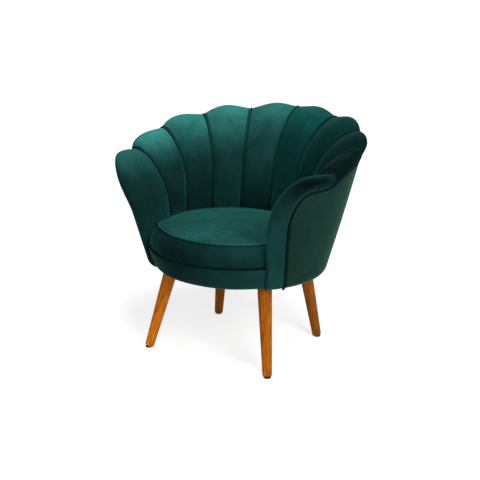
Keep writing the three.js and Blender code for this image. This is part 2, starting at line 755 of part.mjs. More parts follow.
// The seat frame: four solid rails, curved outside to the shell and straight inside.
function buildSeatFrame() {
  const levels = [seatRailBottom, lowerEdgeTop, seatRailTop];
  const disc = solid(loft(levels.map((height) => planRing(height, Math.max(insideRoll(height), padInset)))));
  const frontEdge = shellPoint(180, seatRailTop, padInset).y + frontRailDepth;
  const backEdge = shellPoint(0, seatRailTop, padInset).y - backRailDepth;
  const halfWidth = shellPoint(90, seatRailTop, padInset).x;
  const innerSide = halfWidth - sideRailWidth;
  const cutRail = (name, minX, maxX, minY, maxY) => {
    const box = new THREE.BoxGeometry(maxX - minX, maxY - minY, 2 * seatRailTop);
    box.translate((minX + maxX) / 2, (minY + maxY) / 2, seatRailTop);
    add(name, geometryOf(disc.intersect(solid(box))), "pine");
  };
  cutRail("front_seat_rail", -halfWidth, halfWidth, frontEdge - halfWidth, frontEdge);
  cutRail("back_seat_rail", -halfWidth, halfWidth, backEdge, backEdge + halfWidth);
  cutRail("left_seat_rail", innerSide, halfWidth, frontEdge + fit, backEdge - fit);
  cutRail("right_seat_rail", -halfWidth, -innerSide, frontEdge + fit, backEdge - fit);

  const deck = [deckBottom, deckTop].map((z) => planRing(seatRailTop, padInset).map((p) => p.setZ(z)));
  add("seat_deck", loft(deck), "lining");

  // Straps from front to back lie on the rails, and straps from side to side lie on those.
  const strapBetween = (name, halfX, halfY, centerX, centerY, bottom) => {
    const strap = new THREE.BoxGeometry(2 * halfX, 2 * halfY, strapThickness);
    add(name, strap.translate(centerX, centerY, bottom + strapThickness / 2), "webbing");
  };
  const middleY = (frontEdge + backEdge) / 2;
  const crossBottom = strapBottom + strapThickness + fit;
  for (let i = 0; i < strapCount; i++) {
    const offset = (i - (strapCount - 1) / 2) * strapSpacing;
    const halfLength = (backEdge - frontEdge) / 2 + strapBearing;
    strapBetween(`long_seat_strap_${i + 1}`, strapWidth / 2, halfLength, offset, middleY, strapBottom);
    const halfSpan = innerSide + strapBearing;
    strapBetween(`cross_seat_strap_${i + 1}`, halfSpan, strapWidth / 2, 0, middleY + offset, crossBottom);
  }
}

// Cushion
// How far the cushion's front lies from its middle at a heading: on an oval inside the shell's face,
// or on its straight sides.
function cushionFront(heading, height) {
  const rise = (height - padBottom) / cushionThickness;
  const recess = recessAt(180 - Math.abs(heading));
  const inset = cushionFrontInset + recess + cushionFrontLean * clamp01(rise) ** cushionLeanPower;
  const halfWidth = shellPoint(90, padBottom, inset).x;
  const halfLength = -shellPoint(180, padBottom, inset).y;
  const across = Math.sin(heading * degrees) / halfWidth;
  const along = Math.cos(heading * degrees) / halfLength;
  const square = across ** 2 + along ** 2;
  const cross = (cushionCenterOffset / halfLength) * along;
  const offset = (cushionCenterOffset / halfLength) ** 2 - 1;
  const reach = (Math.sqrt(cross ** 2 - square * offset) - cross) / square;
  const side = Math.abs(Math.sin(heading * degrees)) / cushionHalfWidth;
  return (reach ** -cushionCornerPower + side ** cushionCornerPower) ** (-1 / cushionCornerPower);
}

function cushionBack(heading) {
  const across = Math.abs(Math.sin(heading * degrees) / cushionHalfWidth) ** cushionBackPower;
  const along = Math.abs(Math.cos(heading * degrees) / cushionBackReach) ** cushionBackPower;
  return (across + along) ** (-1 / cushionBackPower);
}

// The cushion's outline at a height, which stays off the padding's inner face.
function cushionOutline(height) {
  return spread(cushionSides, (share) => share * 360 - 180)
    .slice(0, cushionSides)
    .map((angle) => {
      const wall = shellPoint(angle, seatLine, seatPaddingInset(angle));
      const forward = wall.y - cushionCenterOffset;
      const heading = Math.atan2(wall.x, forward) / degrees;
      const own = forward > 0 ? cushionBack(heading) : cushionFront(heading, height);
      const reach = Math.min(own, Math.hypot(wall.x, forward) - cushionClearance);
      const turn = heading * degrees;
      return new THREE.Vector3(reach * Math.sin(turn), reach * Math.cos(turn) + cushionCenterOffset, height);
    });
}

// The level direction straight out of a closed outline at each of its points.
function outwardDirections(outline) {
  return outline.map((_, i) => {
    const before = outline[(i + outline.length - 1) % outline.length];
    const after = outline[(i + 1) % outline.length];
    const along = new THREE.Vector3().subVectors(after, before).setZ(0).normalize();
    return new THREE.Vector3(-along.y, along.x, 0);
  });
}

function buildCushion() {
  const ring = (height, inset) => {
    const outline = cushionOutline(height);
    const outward = outwardDirections(outline);
    return outline.map((point, i) => point.addScaledVector(outward[i], -inset));
  };
  const sideTop = cushionEdge - cushionEdgeRise / 2;
  const edgeTop = cushionEdge + cushionEdgeRise / 2;
  const sides = [
    ring(padBottom, cushionSideDraw),
    ring(padBottom + cushionSideDraw, cushionPipingInset),
    ring((padBottom + sideTop) / 2, 0),
    ring(sideTop, cushionPipingInset),
    ring(edgeTop, cushionEdgeCut),
  ];
  const middle = new THREE.Vector3();
  sides.at(-1).forEach((p) => middle.add(p));
  middle.divideScalar(cushionSides);
  const crown = cushionCrownShares.map((share) =>
    sides.at(-1).map((p) => {
      const q = middle.clone().lerp(p, share);
      q.z = edgeTop + cushionCrown * (1 - share ** cushionCrownPower);
      return q;
    }),
  );
  add("seat_cushion", loft([...sides, ...crown]), "velvet");

  // The piping lies on the cut edge, a little off it.
  const [low, high] = sides.slice(-2);
  const outward = outwardDirections(low);
  const path = low.map((point, i) => {
    const across = new THREE.Vector3().subVectors(high[i], point);
    const away = new THREE.Vector3(0, 0, -across.dot(outward[i])).addScaledVector(outward[i], across.z);
    const middle = point.clone().addScaledVector(across, 1 / 2);
    return middle.addScaledVector(away.normalize(), cushionPipingRadius + layerGap + fit);
  });
  add("seat_cushion_piping", tube(path, cushionPipingRadius, tubeSides, true), "velvet");
}

// Piping along a seam between two channels, lying in their valley from the seat to the outer seam.
function seamPiping(angle) {
  const lift = pipingLift + pipingRadius;
  const outline = pushedOutline(valleyOutline(angle), () => lift);
  const path = outline.slice(0, -1).map(({ height, inset }) => shellPoint(angle, height, inset));
  return tube(path, pipingRadius, tubeSides);
}

// The welt lies between the outer cover and the padding, from one arm's foot round to the other's.
function edgeWelt() {
  const arm = armColumns.map((column) => armPoint(armWelt, column, 0, lowerEdgeTop));
  const angles = columnAngles(0, lastSeamDegrees);
  const half = [
    ...angles.slice(0, -1).map((angle) => ({ angle, height: outerSeamHeight(angle), inset: 0 })),
    ...arm.map((spot) => ({ ...spot, inset: 0 })),
  ];
  for (let i = 1; i <= lowerEdgeSteps; i++) {
    const turn = (quarterTurn * i) / (lowerEdgeSteps + 1);
    const height = lowerEdgeTop - (lowerEdgeRadius + weltTail) * Math.sin(turn);
    const inset = lowerEdgeRadius * (1 - Math.cos(turn));
    half.push({ angle: armFrontAngle(armWelt, height, 0), height, inset });
  }
  const path = [
    ...half.slice(1).reverse().map((spot) => shellPoint(-spot.angle, spot.height, spot.inset)),
    ...half.map((spot) => shellPoint(spot.angle, spot.height, spot.inset)),
  ];
  return tube(path, weltRadius, tubeSides);
}

function buildUpholstery() {
  for (const [name, side] of [["left", 1], ["right", -1]]) {
    for (let number = 1; number <= channelsPerSide; number++) {
      add(`${name}_back_channel_${number}`, backChannel(side, number), "velvet");
      add(`${name}_seam_piping_${number}`, seamPiping(side * seamDegrees(number)), "velvet");
    }
    add(`${name}_arm_pad`, armPad(side), "velvet");
  }
  add("center_seam_piping", seamPiping(0), "velvet");
  add("outer_cover", outerCover(), "velvet");
  add("outer_edge_welt", edgeWelt(), "welt");
  add("front_border", frontBorder(), "velvet");
}

function buildShellBoards() {
  const board = (from, to) =>
    bentBoard(
      columnAngles(from, to),
      armBoardAngle(armBoardSetback),
      (angle) => boardTop(angle, armBoardSetback),
      lowerEdgeTop + layerGap,
      boardInset,
      boardInset + boardThickness,
    );
  const joint = backBoardEndDegrees;
  const start = joint + boardJoint / shellTopRadius / degrees;
  const end = lastColumn(armEdge, armBoardSetback);
  add("back_shell_board", board(-joint, joint), "plywood");
  add("left_shell_board", board(start, end), "plywood");
  add("right_shell_board", board(-end, -start), "plywood");
}

buildLegs();
buildBase();
buildSeatFrame();
buildShellBoards();
buildUpholstery();
buildCushion();

// The origin is on the floor, under the middle of the chair's width and depth.
const bounds = new THREE.Box3().setFromObject(chair);
chair.position.y = -(bounds.min.y + bounds.max.y) / 2;

export default chair;
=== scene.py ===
import math

import bmesh
import bpy
import numpy as np
from mathutils import Matrix, Vector
from mathutils.geometry import delaunay_2d_cdt


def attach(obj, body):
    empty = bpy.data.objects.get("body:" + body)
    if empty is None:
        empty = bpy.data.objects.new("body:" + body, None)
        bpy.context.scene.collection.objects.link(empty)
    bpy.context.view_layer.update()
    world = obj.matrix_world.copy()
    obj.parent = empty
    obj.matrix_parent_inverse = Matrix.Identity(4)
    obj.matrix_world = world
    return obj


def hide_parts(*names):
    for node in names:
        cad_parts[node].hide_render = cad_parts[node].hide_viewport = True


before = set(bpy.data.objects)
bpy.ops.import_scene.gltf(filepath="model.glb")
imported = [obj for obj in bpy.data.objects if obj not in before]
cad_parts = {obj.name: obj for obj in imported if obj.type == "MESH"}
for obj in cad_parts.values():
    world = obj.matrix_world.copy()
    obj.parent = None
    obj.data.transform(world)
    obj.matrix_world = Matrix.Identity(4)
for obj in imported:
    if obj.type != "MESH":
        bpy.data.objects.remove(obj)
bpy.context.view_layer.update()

# Sizes of the shell and its padding, the same as the CAD's
SHIFT_Y = -69.8774  # from the shell's axis to the chair's origin
UNDERSIDE, CREST = 290.0, 785.0
TOP_RADIUS, BASE_SIDE, BASE_BACK, BASE_FRONT = 438.0, 313.5, 257.5, 281.0
LOWER_RADIUS = 27.0
LOWER_TOP = UNDERSIDE + LOWER_RADIUS
CHANNELS, SEAM_STEP = 4, 24.8
LAST_SEAM = CHANNELS * SEAM_STEP
SEAT_LINE = 455.0
BACK_HEIGHT = CREST - SEAT_LINE
SEAM_DROPS = [share * BACK_HEIGHT for share in (0, 0.0485, 0.1015, 0.203, 0.3576)]
FULLNESSES = [15.5, 21.0, 22.0, 22.0]
SCALLOP_POWER = 2.15
SCALLOP_PEAKS = [0.5, 0.55, 0.6, 0.74]
SCALLOP_STEEPNESS = [0.0, 0.5, 0.8, 1.0]
BACK_WALL, ARM_WALL, ARM_FRONT_WALL, SHOULDER = 124.0, 105.0, 84.0, 0.47 * BACK_HEIGHT
CREST_INSET, FLAP_DROP, FLAP_PROUD, WELT_GAP = 18.0, 37.0, 1.5, 4.3
WELT_EDGE = WELT_GAP - 0.8  # from the welt's line to the fabrics' edges beside it
COVER, PAD_INSET, PAD_BOTTOM, DECK_TOP = 7.0, 20.2, 371.2, 370.85
CORNER = 112.0
ARM_TOP = SEAT_LINE + 0.6727 * BACK_HEIGHT
ARM_CORNER = SEAT_LINE + 0.1364 * BACK_HEIGHT
ARM_FULLNESS, ARM_REACH, ARM_RISE, NOSE_REACH = 12.0, 80.0, 100.0, 42.0
ARM_SPREAD = 21.6
ARM_ROLL, ARM_ROLL_TOP, ARM_ROLL_RAMP = 17.0, ARM_TOP - 52, 0.3
FOOT_END, FACING_END = 125.5, 132.3
BORDER_INSET, BORDER_BACK, BORDER_RECESS, FLANGE, FLANGE_THICKNESS = 8.0, 20.0, 8.0, 48.0, 4.6
RECESS_START, RECESS_RUN = 18.0, 26.0  # degrees from the middle of the front
CUSHION_HEIGHT = 68.0  # to its sewn top edge
CUSHION_EDGE = PAD_BOTTOM + CUSHION_HEIGHT
WALL_LEAN = 0.14  # the padding thins by this much per millimetre below its shoulder


def mix(a, b, t):
    return a + (b - a) * t


def clamp01(t):
    return np.clip(t, 0.0, 1.0)


def smooth(t):
    t = clamp01(t)
    return t * t * (3 - 2 * t)


# A point of the shell from its angle in degrees, height and inset in millimetres.
def shell(angle, height, inset, flare=None):
    flare = height if flare is None else flare
    values = [np.asarray(v, float) for v in (angle, height, inset, flare)]
    angle, height, inset, flare = np.broadcast_arrays(*values)
    rise = (flare - UNDERSIDE) / (CREST - UNDERSIDE)
    base_reach = np.where(np.cos(np.radians(angle)) > 0, BASE_BACK, BASE_FRONT)
    side = mix(BASE_SIDE, TOP_RADIUS, rise) - inset
    reach = mix(base_reach, TOP_RADIUS, rise) - inset
    x = side * np.sin(np.radians(angle))
    y = reach * np.cos(np.radians(angle)) + SHIFT_Y
    return np.stack([x, y, height], -1) / 1000


def bump(share, power=SCALLOP_POWER):
    return 1 - np.abs(2 * share - 1) ** power


# The crest's outline across a channel, from its inner seam to its outer one. The outer channels are
# fullest nearer their outer seam, and fall steeply to it.
def scallop(share, number):
    peak = np.array(SCALLOP_PEAKS)[number - 1]
    steep = np.array(SCALLOP_STEEPNESS)[number - 1]
    turned_share = np.where(share < peak, 0.5 * share / peak, 0.5 + 0.5 * (share - peak) / (1 - peak))
    soft = mix(bump(turned_share, 2.0), np.sin(math.pi * turned_share) ** 2, 0.5)
    full = bump(turned_share, 2.6)
    return np.where(share < peak, soft, mix(soft, full, steep))


def crest_at(angle):
    return CREST - np.interp(np.abs(angle) / SEAM_STEP, range(CHANNELS + 1), SEAM_DROPS)


def fullness_at(angle):
    seams = np.minimum(np.abs(angle), LAST_SEAM) / SEAM_STEP
    first = np.minimum(np.floor(seams), CHANNELS - 1).astype(int)
    return np.array(FULLNESSES)[first] * scallop(seams - first, first + 1)


def outer_seam(angle):
    return crest_at(angle) - FLAP_DROP + 0.5 * fullness_at(angle)


def full_wall(angle):
    past = clamp01((np.abs(angle) - LAST_SEAM) / (CORNER + ARM_SPREAD - LAST_SEAM))
    return mix(BACK_WALL, ARM_WALL, clamp01(np.abs(angle) / LAST_SEAM)) - (ARM_WALL - ARM_FRONT_WALL) * past


def wall_inset(angle, depth, edge=CREST_INSET):
    share = clamp01(depth / SHOULDER)
    rounded = edge + (full_wall(angle) - edge) * np.sqrt(np.maximum(1 - (1 - share) ** 2, 0))
    return rounded - WALL_LEAN * np.maximum(depth - SHOULDER, 0)


# Arm outlines, along the top from the last seam, round the corner and down the front
CORNER_RISE = (ARM_CORNER - UNDERSIDE) / (CREST - UNDERSIDE)
CORNER_REACH = (mix(BASE_SIDE, TOP_RADIUS, CORNER_RISE) + mix(BASE_FRONT, TOP_RADIUS, CORNER_RISE)) / 2
ARM_DEGREES = 180 / math.pi / CORNER_REACH  # degrees round the shell in one millimetre
ARM_JOIN = CREST - SEAM_DROPS[4]
EDGE = dict(start=ARM_JOIN, top=ARM_TOP, corner=ARM_CORNER, spread=ARM_SPREAD, sweep=2.2, power=1.0)
WELT = dict(
    start=ARM_JOIN - FLAP_DROP, top=ARM_TOP - 51, corner=ARM_CORNER + 12, spread=11.1, sweep=3.0, power=1.6
)


def front_angle(line, height, inset=0.0):
    fall = clamp01((line["corner"] - height) / (line["corner"] - UNDERSIDE))
    return CORNER + line["spread"] - inset * ARM_DEGREES - line["sweep"] * fall ** line["power"]


# Angles and heights along an arm line. Share 0 is the last seam and 1 the front's lower end.
def arm_line(line, share, inset, bottom, stops=(0.25, 0.75)):
    share = np.asarray(share, float)
    spread = line["spread"] - inset * ARM_DEGREES
    along = clamp01(share / stops[0])
    angle_top = mix(LAST_SEAM, CORNER, along)
    height_top = mix(line["start"], line["top"], np.sin(along * math.pi / 2)) - inset
    turn = clamp01((share - stops[0]) / (stops[1] - stops[0])) * math.pi / 2
    angle_corner = CORNER + spread * np.sin(turn)
    height_corner = line["corner"] + (line["top"] - line["corner"] - inset) * np.cos(turn)
    height_front = mix(line["corner"], bottom, clamp01((share - stops[1]) / (1 - stops[1])))
    angle_front = front_angle(line, height_front, inset)
    first, last = share < stops[0], share > stops[1]
    angle = np.where(first, angle_top, np.where(last, angle_front, angle_corner))
    height = np.where(first, height_top, np.where(last, height_front, height_corner))
    return angle, height


def arm_height_at(line, angle, inset):
    along = clamp01((angle - LAST_SEAM) / (CORNER - LAST_SEAM))
    over_top = mix(line["start"], line["top"], np.sin(along * math.pi / 2)) - inset
    share = clamp01((angle - CORNER) / (line["spread"] - inset * ARM_DEGREES))
    corner = line["corner"] + (line["top"] - line["corner"] - inset) * np.sqrt(1 - share**2)
    return np.where(angle <= CORNER, over_top, corner)


TRACE = np.stack(arm_line(EDGE, np.linspace(0, 1, 900), 0.0, UNDERSIDE), -1)


def arm_distance(angle, height):
    da = (np.asarray(angle)[..., None] - TRACE[:, 0]) / ARM_DEGREES
    dh = np.asarray(height)[..., None] - TRACE[:, 1]
    return np.sqrt(da**2 + dh**2).min(-1)


# How far the front border lies behind its line at the middle, at an angle from the middle of the front
def border_recess(across):
    return BORDER_RECESS * smooth((np.abs(across) - RECESS_START) / RECESS_RUN)


# Slow waves with no period, for puckers and uneven filling
def waves(values, length, seed):
    rng = np.random.default_rng(seed)
    total = 0
    for rate in (1.0, 1.37, 0.73, 1.91):
        phase = rng.uniform(0, 6.28)
        total = total + np.sin(2 * math.pi * values * rate / length + phase) * rng.uniform(0.5, 1.0)
    return total / 2.4


def unit(vectors):
    return vectors / np.linalg.norm(vectors, axis=1)[:, None]


# The direction of a path of points at each of them
def heading_along(path, looped):
    along = np.roll(path, -1, 0) - np.roll(path, 1, 0)
    if not looped:
        along[0], along[-1] = path[1] - path[0], path[-1] - path[-2]
    return unit(along)


# Meshes
WELD = 1e-6  # points nearer than this, in metres, become one
CORD_SIDES = 14
TAPE_HALF, TAPE_OPENING = 0.0003, 0.25  # half its thickness, and the half angle that it takes from the cord


def add_object(name, data):
    obj = bpy.data.objects.new(name, data)
    bpy.context.scene.collection.objects.link(obj)
    return obj


def new_object(name, points, faces, material):
    mesh = bpy.data.meshes.new(name)
    mesh.from_pydata([tuple(p) for p in np.asarray(points, float).reshape(-1, 3)], [], faces)
    bm = bmesh.new()
    bm.from_mesh(mesh)
    bmesh.ops.remove_doubles(bm, verts=bm.verts, dist=WELD)
    bmesh.ops.recalc_face_normals(bm, faces=bm.faces)
    bm.to_mesh(mesh)
    bm.free()
    mesh.update()
    for polygon in mesh.polygons:
        polygon.use_smooth = True
    mesh.materials.append(material)
    return add_object(name, mesh)


# Faces over rings of equally many points, capped at both ends or joined into a loop.
def ring_faces(rings, count, looped):
    faces = []
    for r in range(rings if looped else rings - 1):
        here, there = r * count, ((r + 1) % rings) * count
        for i in range(count):
            j = (i + 1) % count
            faces.append((here + i, here + j, there + j, there + i))
    if not looped:
        faces.append(tuple(range(count)))
        faces.append(tuple((rings - 1) * count + i for i in range(count)))
    return faces


def loft(name, rings, material, looped=False, sharp=None):
    rings = np.asarray(rings, float)
    obj = new_object(name, rings, ring_faces(rings.shape[0], rings.shape[1], looped), material)
    if sharp is not None:
        obj.data.set_sharp_from_angle(angle=math.radians(sharp))
    return obj


# A cord of round section along a path, with the sewn tape behind it that holds it in the seam.
def cord(name, path, radius, material, out, tape, looped=False):
    along = heading_along(path, looped)
    side = unit(np.cross(along, out))
    lift = np.cross(side, along)
    radius = np.broadcast_to(radius, len(path))[:, None]
    turns = np.linspace(-0.5 * math.pi + TAPE_OPENING, 1.5 * math.pi - TAPE_OPENING, CORD_SIDES)
    rows = [path + side * radius * math.cos(turn) + lift * radius * math.sin(turn) for turn in turns]
    rows += [path + side * edge - lift * (radius + tape) for edge in (-TAPE_HALF, TAPE_HALF)]
    return loft(name, np.stack(rows, 1), material, looped)


# Gives a second material to the faces that a test picks.
def shade(obj, material, picked):
    obj.data.materials.append(material)
    for polygon in obj.data.polygons:
        if picked(polygon):
            polygon.material_index = len(obj.data.materials) - 1


def finish_piece(obj, replaced):
    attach(obj, "root")
    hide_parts(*replaced)


CLOTH_FRAMES, CLOTH_STIFFNESS = 14, 15.0
SWELL_CAP = 0.005  # no point moves further than this, in metres


def points_of(mesh):
    points = np.empty(len(mesh.vertices) * 3)
    mesh.vertices.foreach_get("co", points)
    return points.reshape(-1, 3)


# Swells a piece as cloth under pressure. Held is the share, from 0 to 1, by which each point is pinned.
def inflate(obj, held, pressure):
    before = points_of(obj.data)
    group = obj.vertex_groups.new(name="held")
    for index, weight in enumerate(held):
        if weight > 0:
            group.add([index], float(weight), "REPLACE")
    cloth = obj.modifiers.new("cloth", "CLOTH")
    settings = cloth.settings
    settings.quality = 4
    settings.mass = 0.3
    settings.tension_stiffness = settings.compression_stiffness = CLOTH_STIFFNESS
    settings.shear_stiffness = CLOTH_STIFFNESS / 2
    settings.bending_stiffness = 0.6
    settings.vertex_group_mass = "held"
    settings.pin_stiffness = 8.0
    settings.use_pressure = True
    settings.uniform_pressure_force = pressure
    settings.effector_weights.gravity = 0
    cloth.collision_settings.use_collision = False
    scene = bpy.context.scene
    cloth.point_cache.frame_start, cloth.point_cache.frame_end = 1, CLOTH_FRAMES
    for number in range(1, CLOTH_FRAMES + 1):
        scene.frame_set(number)
        depsgraph = bpy.context.evaluated_depsgraph_get()
        obj.evaluated_get(depsgraph)
    move = points_of(obj.evaluated_get(depsgraph).to_mesh()) - before
    obj.evaluated_get(depsgraph).to_mesh_clear()
    obj.modifiers.remove(cloth)
    obj.vertex_groups.remove(group)
    scene.frame_set(1)
    length = np.linalg.norm(move, axis=1)[:, None] + 1e-12
    moved = before + move / length * (SWELL_CAP * np.tanh(length / SWELL_CAP))
    obj.data.vertices.foreach_set("co", moved.ravel())
    obj.data.update()


# Materials
def socket_color(hex_rgb):
    values = [int(hex_rgb[i : i + 2], 16) / 255 for i in (0, 2, 4)]
    return tuple(v / 12.92 if v <= 0.04045 else ((v + 0.055) / 1.055) ** 2.4 for v in values) + (1.0,)


def socket_colors(*hexes):
    return [socket_color(v) for v in hexes]


def grey(value):
    return (value, value, value, 1.0)


# A tree of nodes. Each input takes a value of its own or the output of another node.
class Nodes:
    def __init__(self, tree):
        self.tree = tree

    def fill(self, sockets, inputs):
        for key, value in inputs.items():
            if isinstance(value, bpy.types.NodeSocket):
                self.tree.links.new(value, sockets[key])
            else:
                sockets[key].default_value = value

    def node(self, kind, inputs=None, **settings):
        made = self.tree.nodes.new(kind)
        for key, value in settings.items():
            setattr(made, key, value)
        self.fill(made.inputs, inputs or {})
        return made

    def coordinates(self, scale=(1, 1, 1)):
        place = self.node("ShaderNodeTexCoord").outputs["Object"]
        return self.node("ShaderNodeMapping", {"Scale": scale, "Vector": place}).outputs["Vector"]

    def noise(self, vector, scale, detail=3.0, roughness=0.55, distortion=0.0):
        inputs = {"Vector": vector, "Scale": scale, "Detail": detail}
        inputs |= {"Roughness": roughness, "Distortion": distortion}
        return self.node("ShaderNodeTexNoise", inputs).outputs["Fac"]

    # Stops are pairs of a place and a colour, or a grey given as one number
    def ramp(self, factor, stops):
        made = self.node("ShaderNodeValToRGB", {"Fac": factor})
        elements = made.color_ramp.elements
        while len(elements) < len(stops):
            elements.new(0.5)
        for element, (place, color) in zip(elements, stops):
            element.position = place
            element.color = color if isinstance(color, tuple) else grey(color)
        return made.outputs["Color"]

    def blend(self, factor, first, second, kind="MIX"):
        made = self.node("ShaderNodeMix", {"Factor": factor}, data_type="RGBA", blend_type=kind)
        colors = [socket for socket in made.inputs if socket.type == "RGBA"]
        self.fill(colors, {0: first, 1: second})
        return next(socket for socket in made.outputs if socket.type == "RGBA")

    def multiply(self, first, second):
        return self.blend(1.0, first, second, "MULTIPLY")

    def math(self, operation, first, second):
        return self.node("ShaderNodeMath", {0: first, 1: second}, operation=operation).outputs["Value"]

    def weighed(self, first, second, share):
        return self.math("ADD", self.math("MULTIPLY", first, share), self.math("MULTIPLY", second, 1 - share))

    # 1 for the camera's own rays and for the named kinds, and 0 for the others
    def seen(self, *rays):
        path = self.node("ShaderNodeLightPath").outputs
        total = path["Is Camera Ray"]
        for ray in rays:
            total = self.math("MAXIMUM", total, path[ray])
        return total


# A material with its principled surface
class Shader(Nodes):
    def __init__(self, name, roughness, metallic=0.0):
        self.material = bpy.data.materials.new(name)
        self.material.use_nodes = True
        super().__init__(self.material.node_tree)
        self.surface = self.tree.nodes["Principled BSDF"]
        self.set({"Roughness": roughness, "Metallic": metallic})

    def set(self, inputs):
        self.fill(self.surface.inputs, inputs)

    # Layers of bumps, each with its height, strength and distance
    def bump(self, *layers):
        below = {}
        for height, strength, distance in layers:
            inputs = {"Height": height, "Strength": strength, "Distance": distance, **below}
            below = {"Normal": self.node("ShaderNodeBump", inputs).outputs["Normal"]}
        self.set(below)


NAP, STREAKS, PILE = 9.0, 46.0, 900.0  # brushed patches, streaks and fibres, in waves per metre


# Tones paint light and shade over a piece, lighter or darker along a direction, as pairs of
# a distance in metres along that direction and the colour's strength there.
def velvet(name, hue, tones, direction, sheen, mottle):
    s = Shader(name, 0.8)
    place = s.coordinates()
    nap = s.noise(place, NAP, 4.0, 0.6, 0.6)
    streaks = s.noise(s.coordinates((1.0, 1.0, 0.35)), STREAKS, 3.0, 0.6)
    pile = s.noise(place, PILE, 2.0, 0.6)
    patch = s.weighed(nap, streaks, 0.7)
    along = s.node("ShaderNodeVectorMath", {0: place, 1: direction}, operation="DOT_PRODUCT").outputs["Value"]
    first, last = tones[0][0], tones[-1][0]
    limits = {"From Min": first, "From Max": last}
    share = s.node("ShaderNodeMapRange", {"Value": along, **limits}).outputs["Result"]
    stops = [((d - first) / (last - first), (*(v * strength for v in hue), 1)) for d, strength in tones]
    uneven = s.ramp(patch, [(0.34, 1 - 0.5 * mottle), (0.66, 1.0)])
    fibre = s.ramp(pile, [(0.3, 0.72), (0.7, 1.0)])
    colour = s.multiply(s.multiply(s.ramp(share, stops), uneven), fibre)
    # Painted sheen: the base colour is blended towards a lighter teal where the surface is seen edge-on
    facing = s.node("ShaderNodeLayerWeight", {"Blend": 0.42}).outputs["Facing"]
    edge = s.math("MULTIPLY", s.math("POWER", facing, 2.2), sheen["edge"])
    s.set({"Base Color": s.blend(edge, colour, sheen["painted_sheen_color"])})
    s.set({"Roughness": s.ramp(patch, [(0.3, 0.9), (0.7, 0.72)]), "Specular IOR Level": 0.02})
    s.set({"Sheen Weight": sheen["weight"], "Sheen Roughness": 0.34, "Sheen Tint": sheen["tint"]})
    s.bump((nap, 0.1, 0.004), (streaks, 0.1, 0.0015), (pile, 0.28, 0.0004))
    return s.material


def wood(name, dark, base, light, scale, along, roughness, coat=0.0):
    s = Shader(name, roughness)
    stretch = tuple(0.06 if axis == along else 1.0 for axis in "xyz")
    grain = s.noise(s.coordinates(stretch), scale, 5.0, 0.62, 1.2)
    pores = s.noise(s.coordinates(tuple(v * 0.5 if v < 1 else v for v in stretch)), scale * 9, 2.0, 0.6)
    broad = s.noise(s.coordinates(), 11.0, 2.0)
    ground = s.ramp(s.weighed(grain, broad, 0.75), [(0.34, dark), (0.5, base), (0.66, light)])
    fleck = s.ramp(pores, [(0.36, 0.0), (0.5, 1.0)])
    s.set({"Base Color": s.blend(fleck, dark, ground)})
    s.set({"Roughness": s.ramp(grain, [(0.3, roughness + 0.1), (0.7, roughness - 0.06)])})
    s.set({"Specular IOR Level": 0.1, "Coat Weight": coat, "Coat Roughness": 0.25})
    s.bump((pores, 0.1, 0.0004), (grain, 0.12, 0.0008))
    return s.material


def woven(name, dark, light, pitch):
    s = Shader(name, 0.85)
    place = s.coordinates()
    threads = {"Scale": 1 / pitch / 3.2, "Distortion": 0.6, "Detail": 1.0}
    lines = []
    for turn in (0, math.pi / 2):
        across = s.node("ShaderNodeMapping", {"Rotation": (0, 0, turn), "Vector": place}).outputs["Vector"]
        lines.append(s.node("ShaderNodeTexWave", {"Vector": across, **threads}).outputs["Fac"])
    weave = s.math("MULTIPLY", *lines)
    dust = s.noise(place, 24.0, 4.0)
    s.set({"Base Color": s.blend(s.weighed(weave, dust, 0.7), dark, light), "Specular IOR Level": 0.1})
    s.bump((weave, 0.4, 0.0006))
    return s.material


def plain(name, dark, light, roughness, metallic=0.0, scale=60.0, scratch=(1, 1, 1)):
    s = Shader(name, roughness, metallic)
    place = s.coordinates(scratch)
    cloud = s.noise(place, scale, 4.0, 0.6)
    rough = s.ramp(cloud, [(0.3, roughness + 0.08), (0.7, max(roughness - 0.08, 0.05))])
    s.set({"Base Color": s.ramp(cloud, [(0.35, dark), (0.65, light)]), "Roughness": rough})
    s.bump((s.noise(place, scale * 8, 2.0), 0.12, 0.0003))
    return s.material


TEAL, DEEP, GREEN = (0.0082, 0.051, 0.0460), (0.0040, 0.052, 0.0460), (0.0135, 0.050, 0.0370)
ACROSS, UP = (1.0, 0.0, 0.0), (0.0, 0.0, 1.0)


# The sheen's weight and tint, and a painted sheen: a lighter colour blended into the base colour edge-on
def sheen(weight, tint="52c4ba", painted_sheen_color="307a73"):
    tint, painted_sheen_color = socket_colors(tint, painted_sheen_color)
    return dict(weight=weight, tint=tint, edge=0.9 * weight, painted_sheen_color=painted_sheen_color)
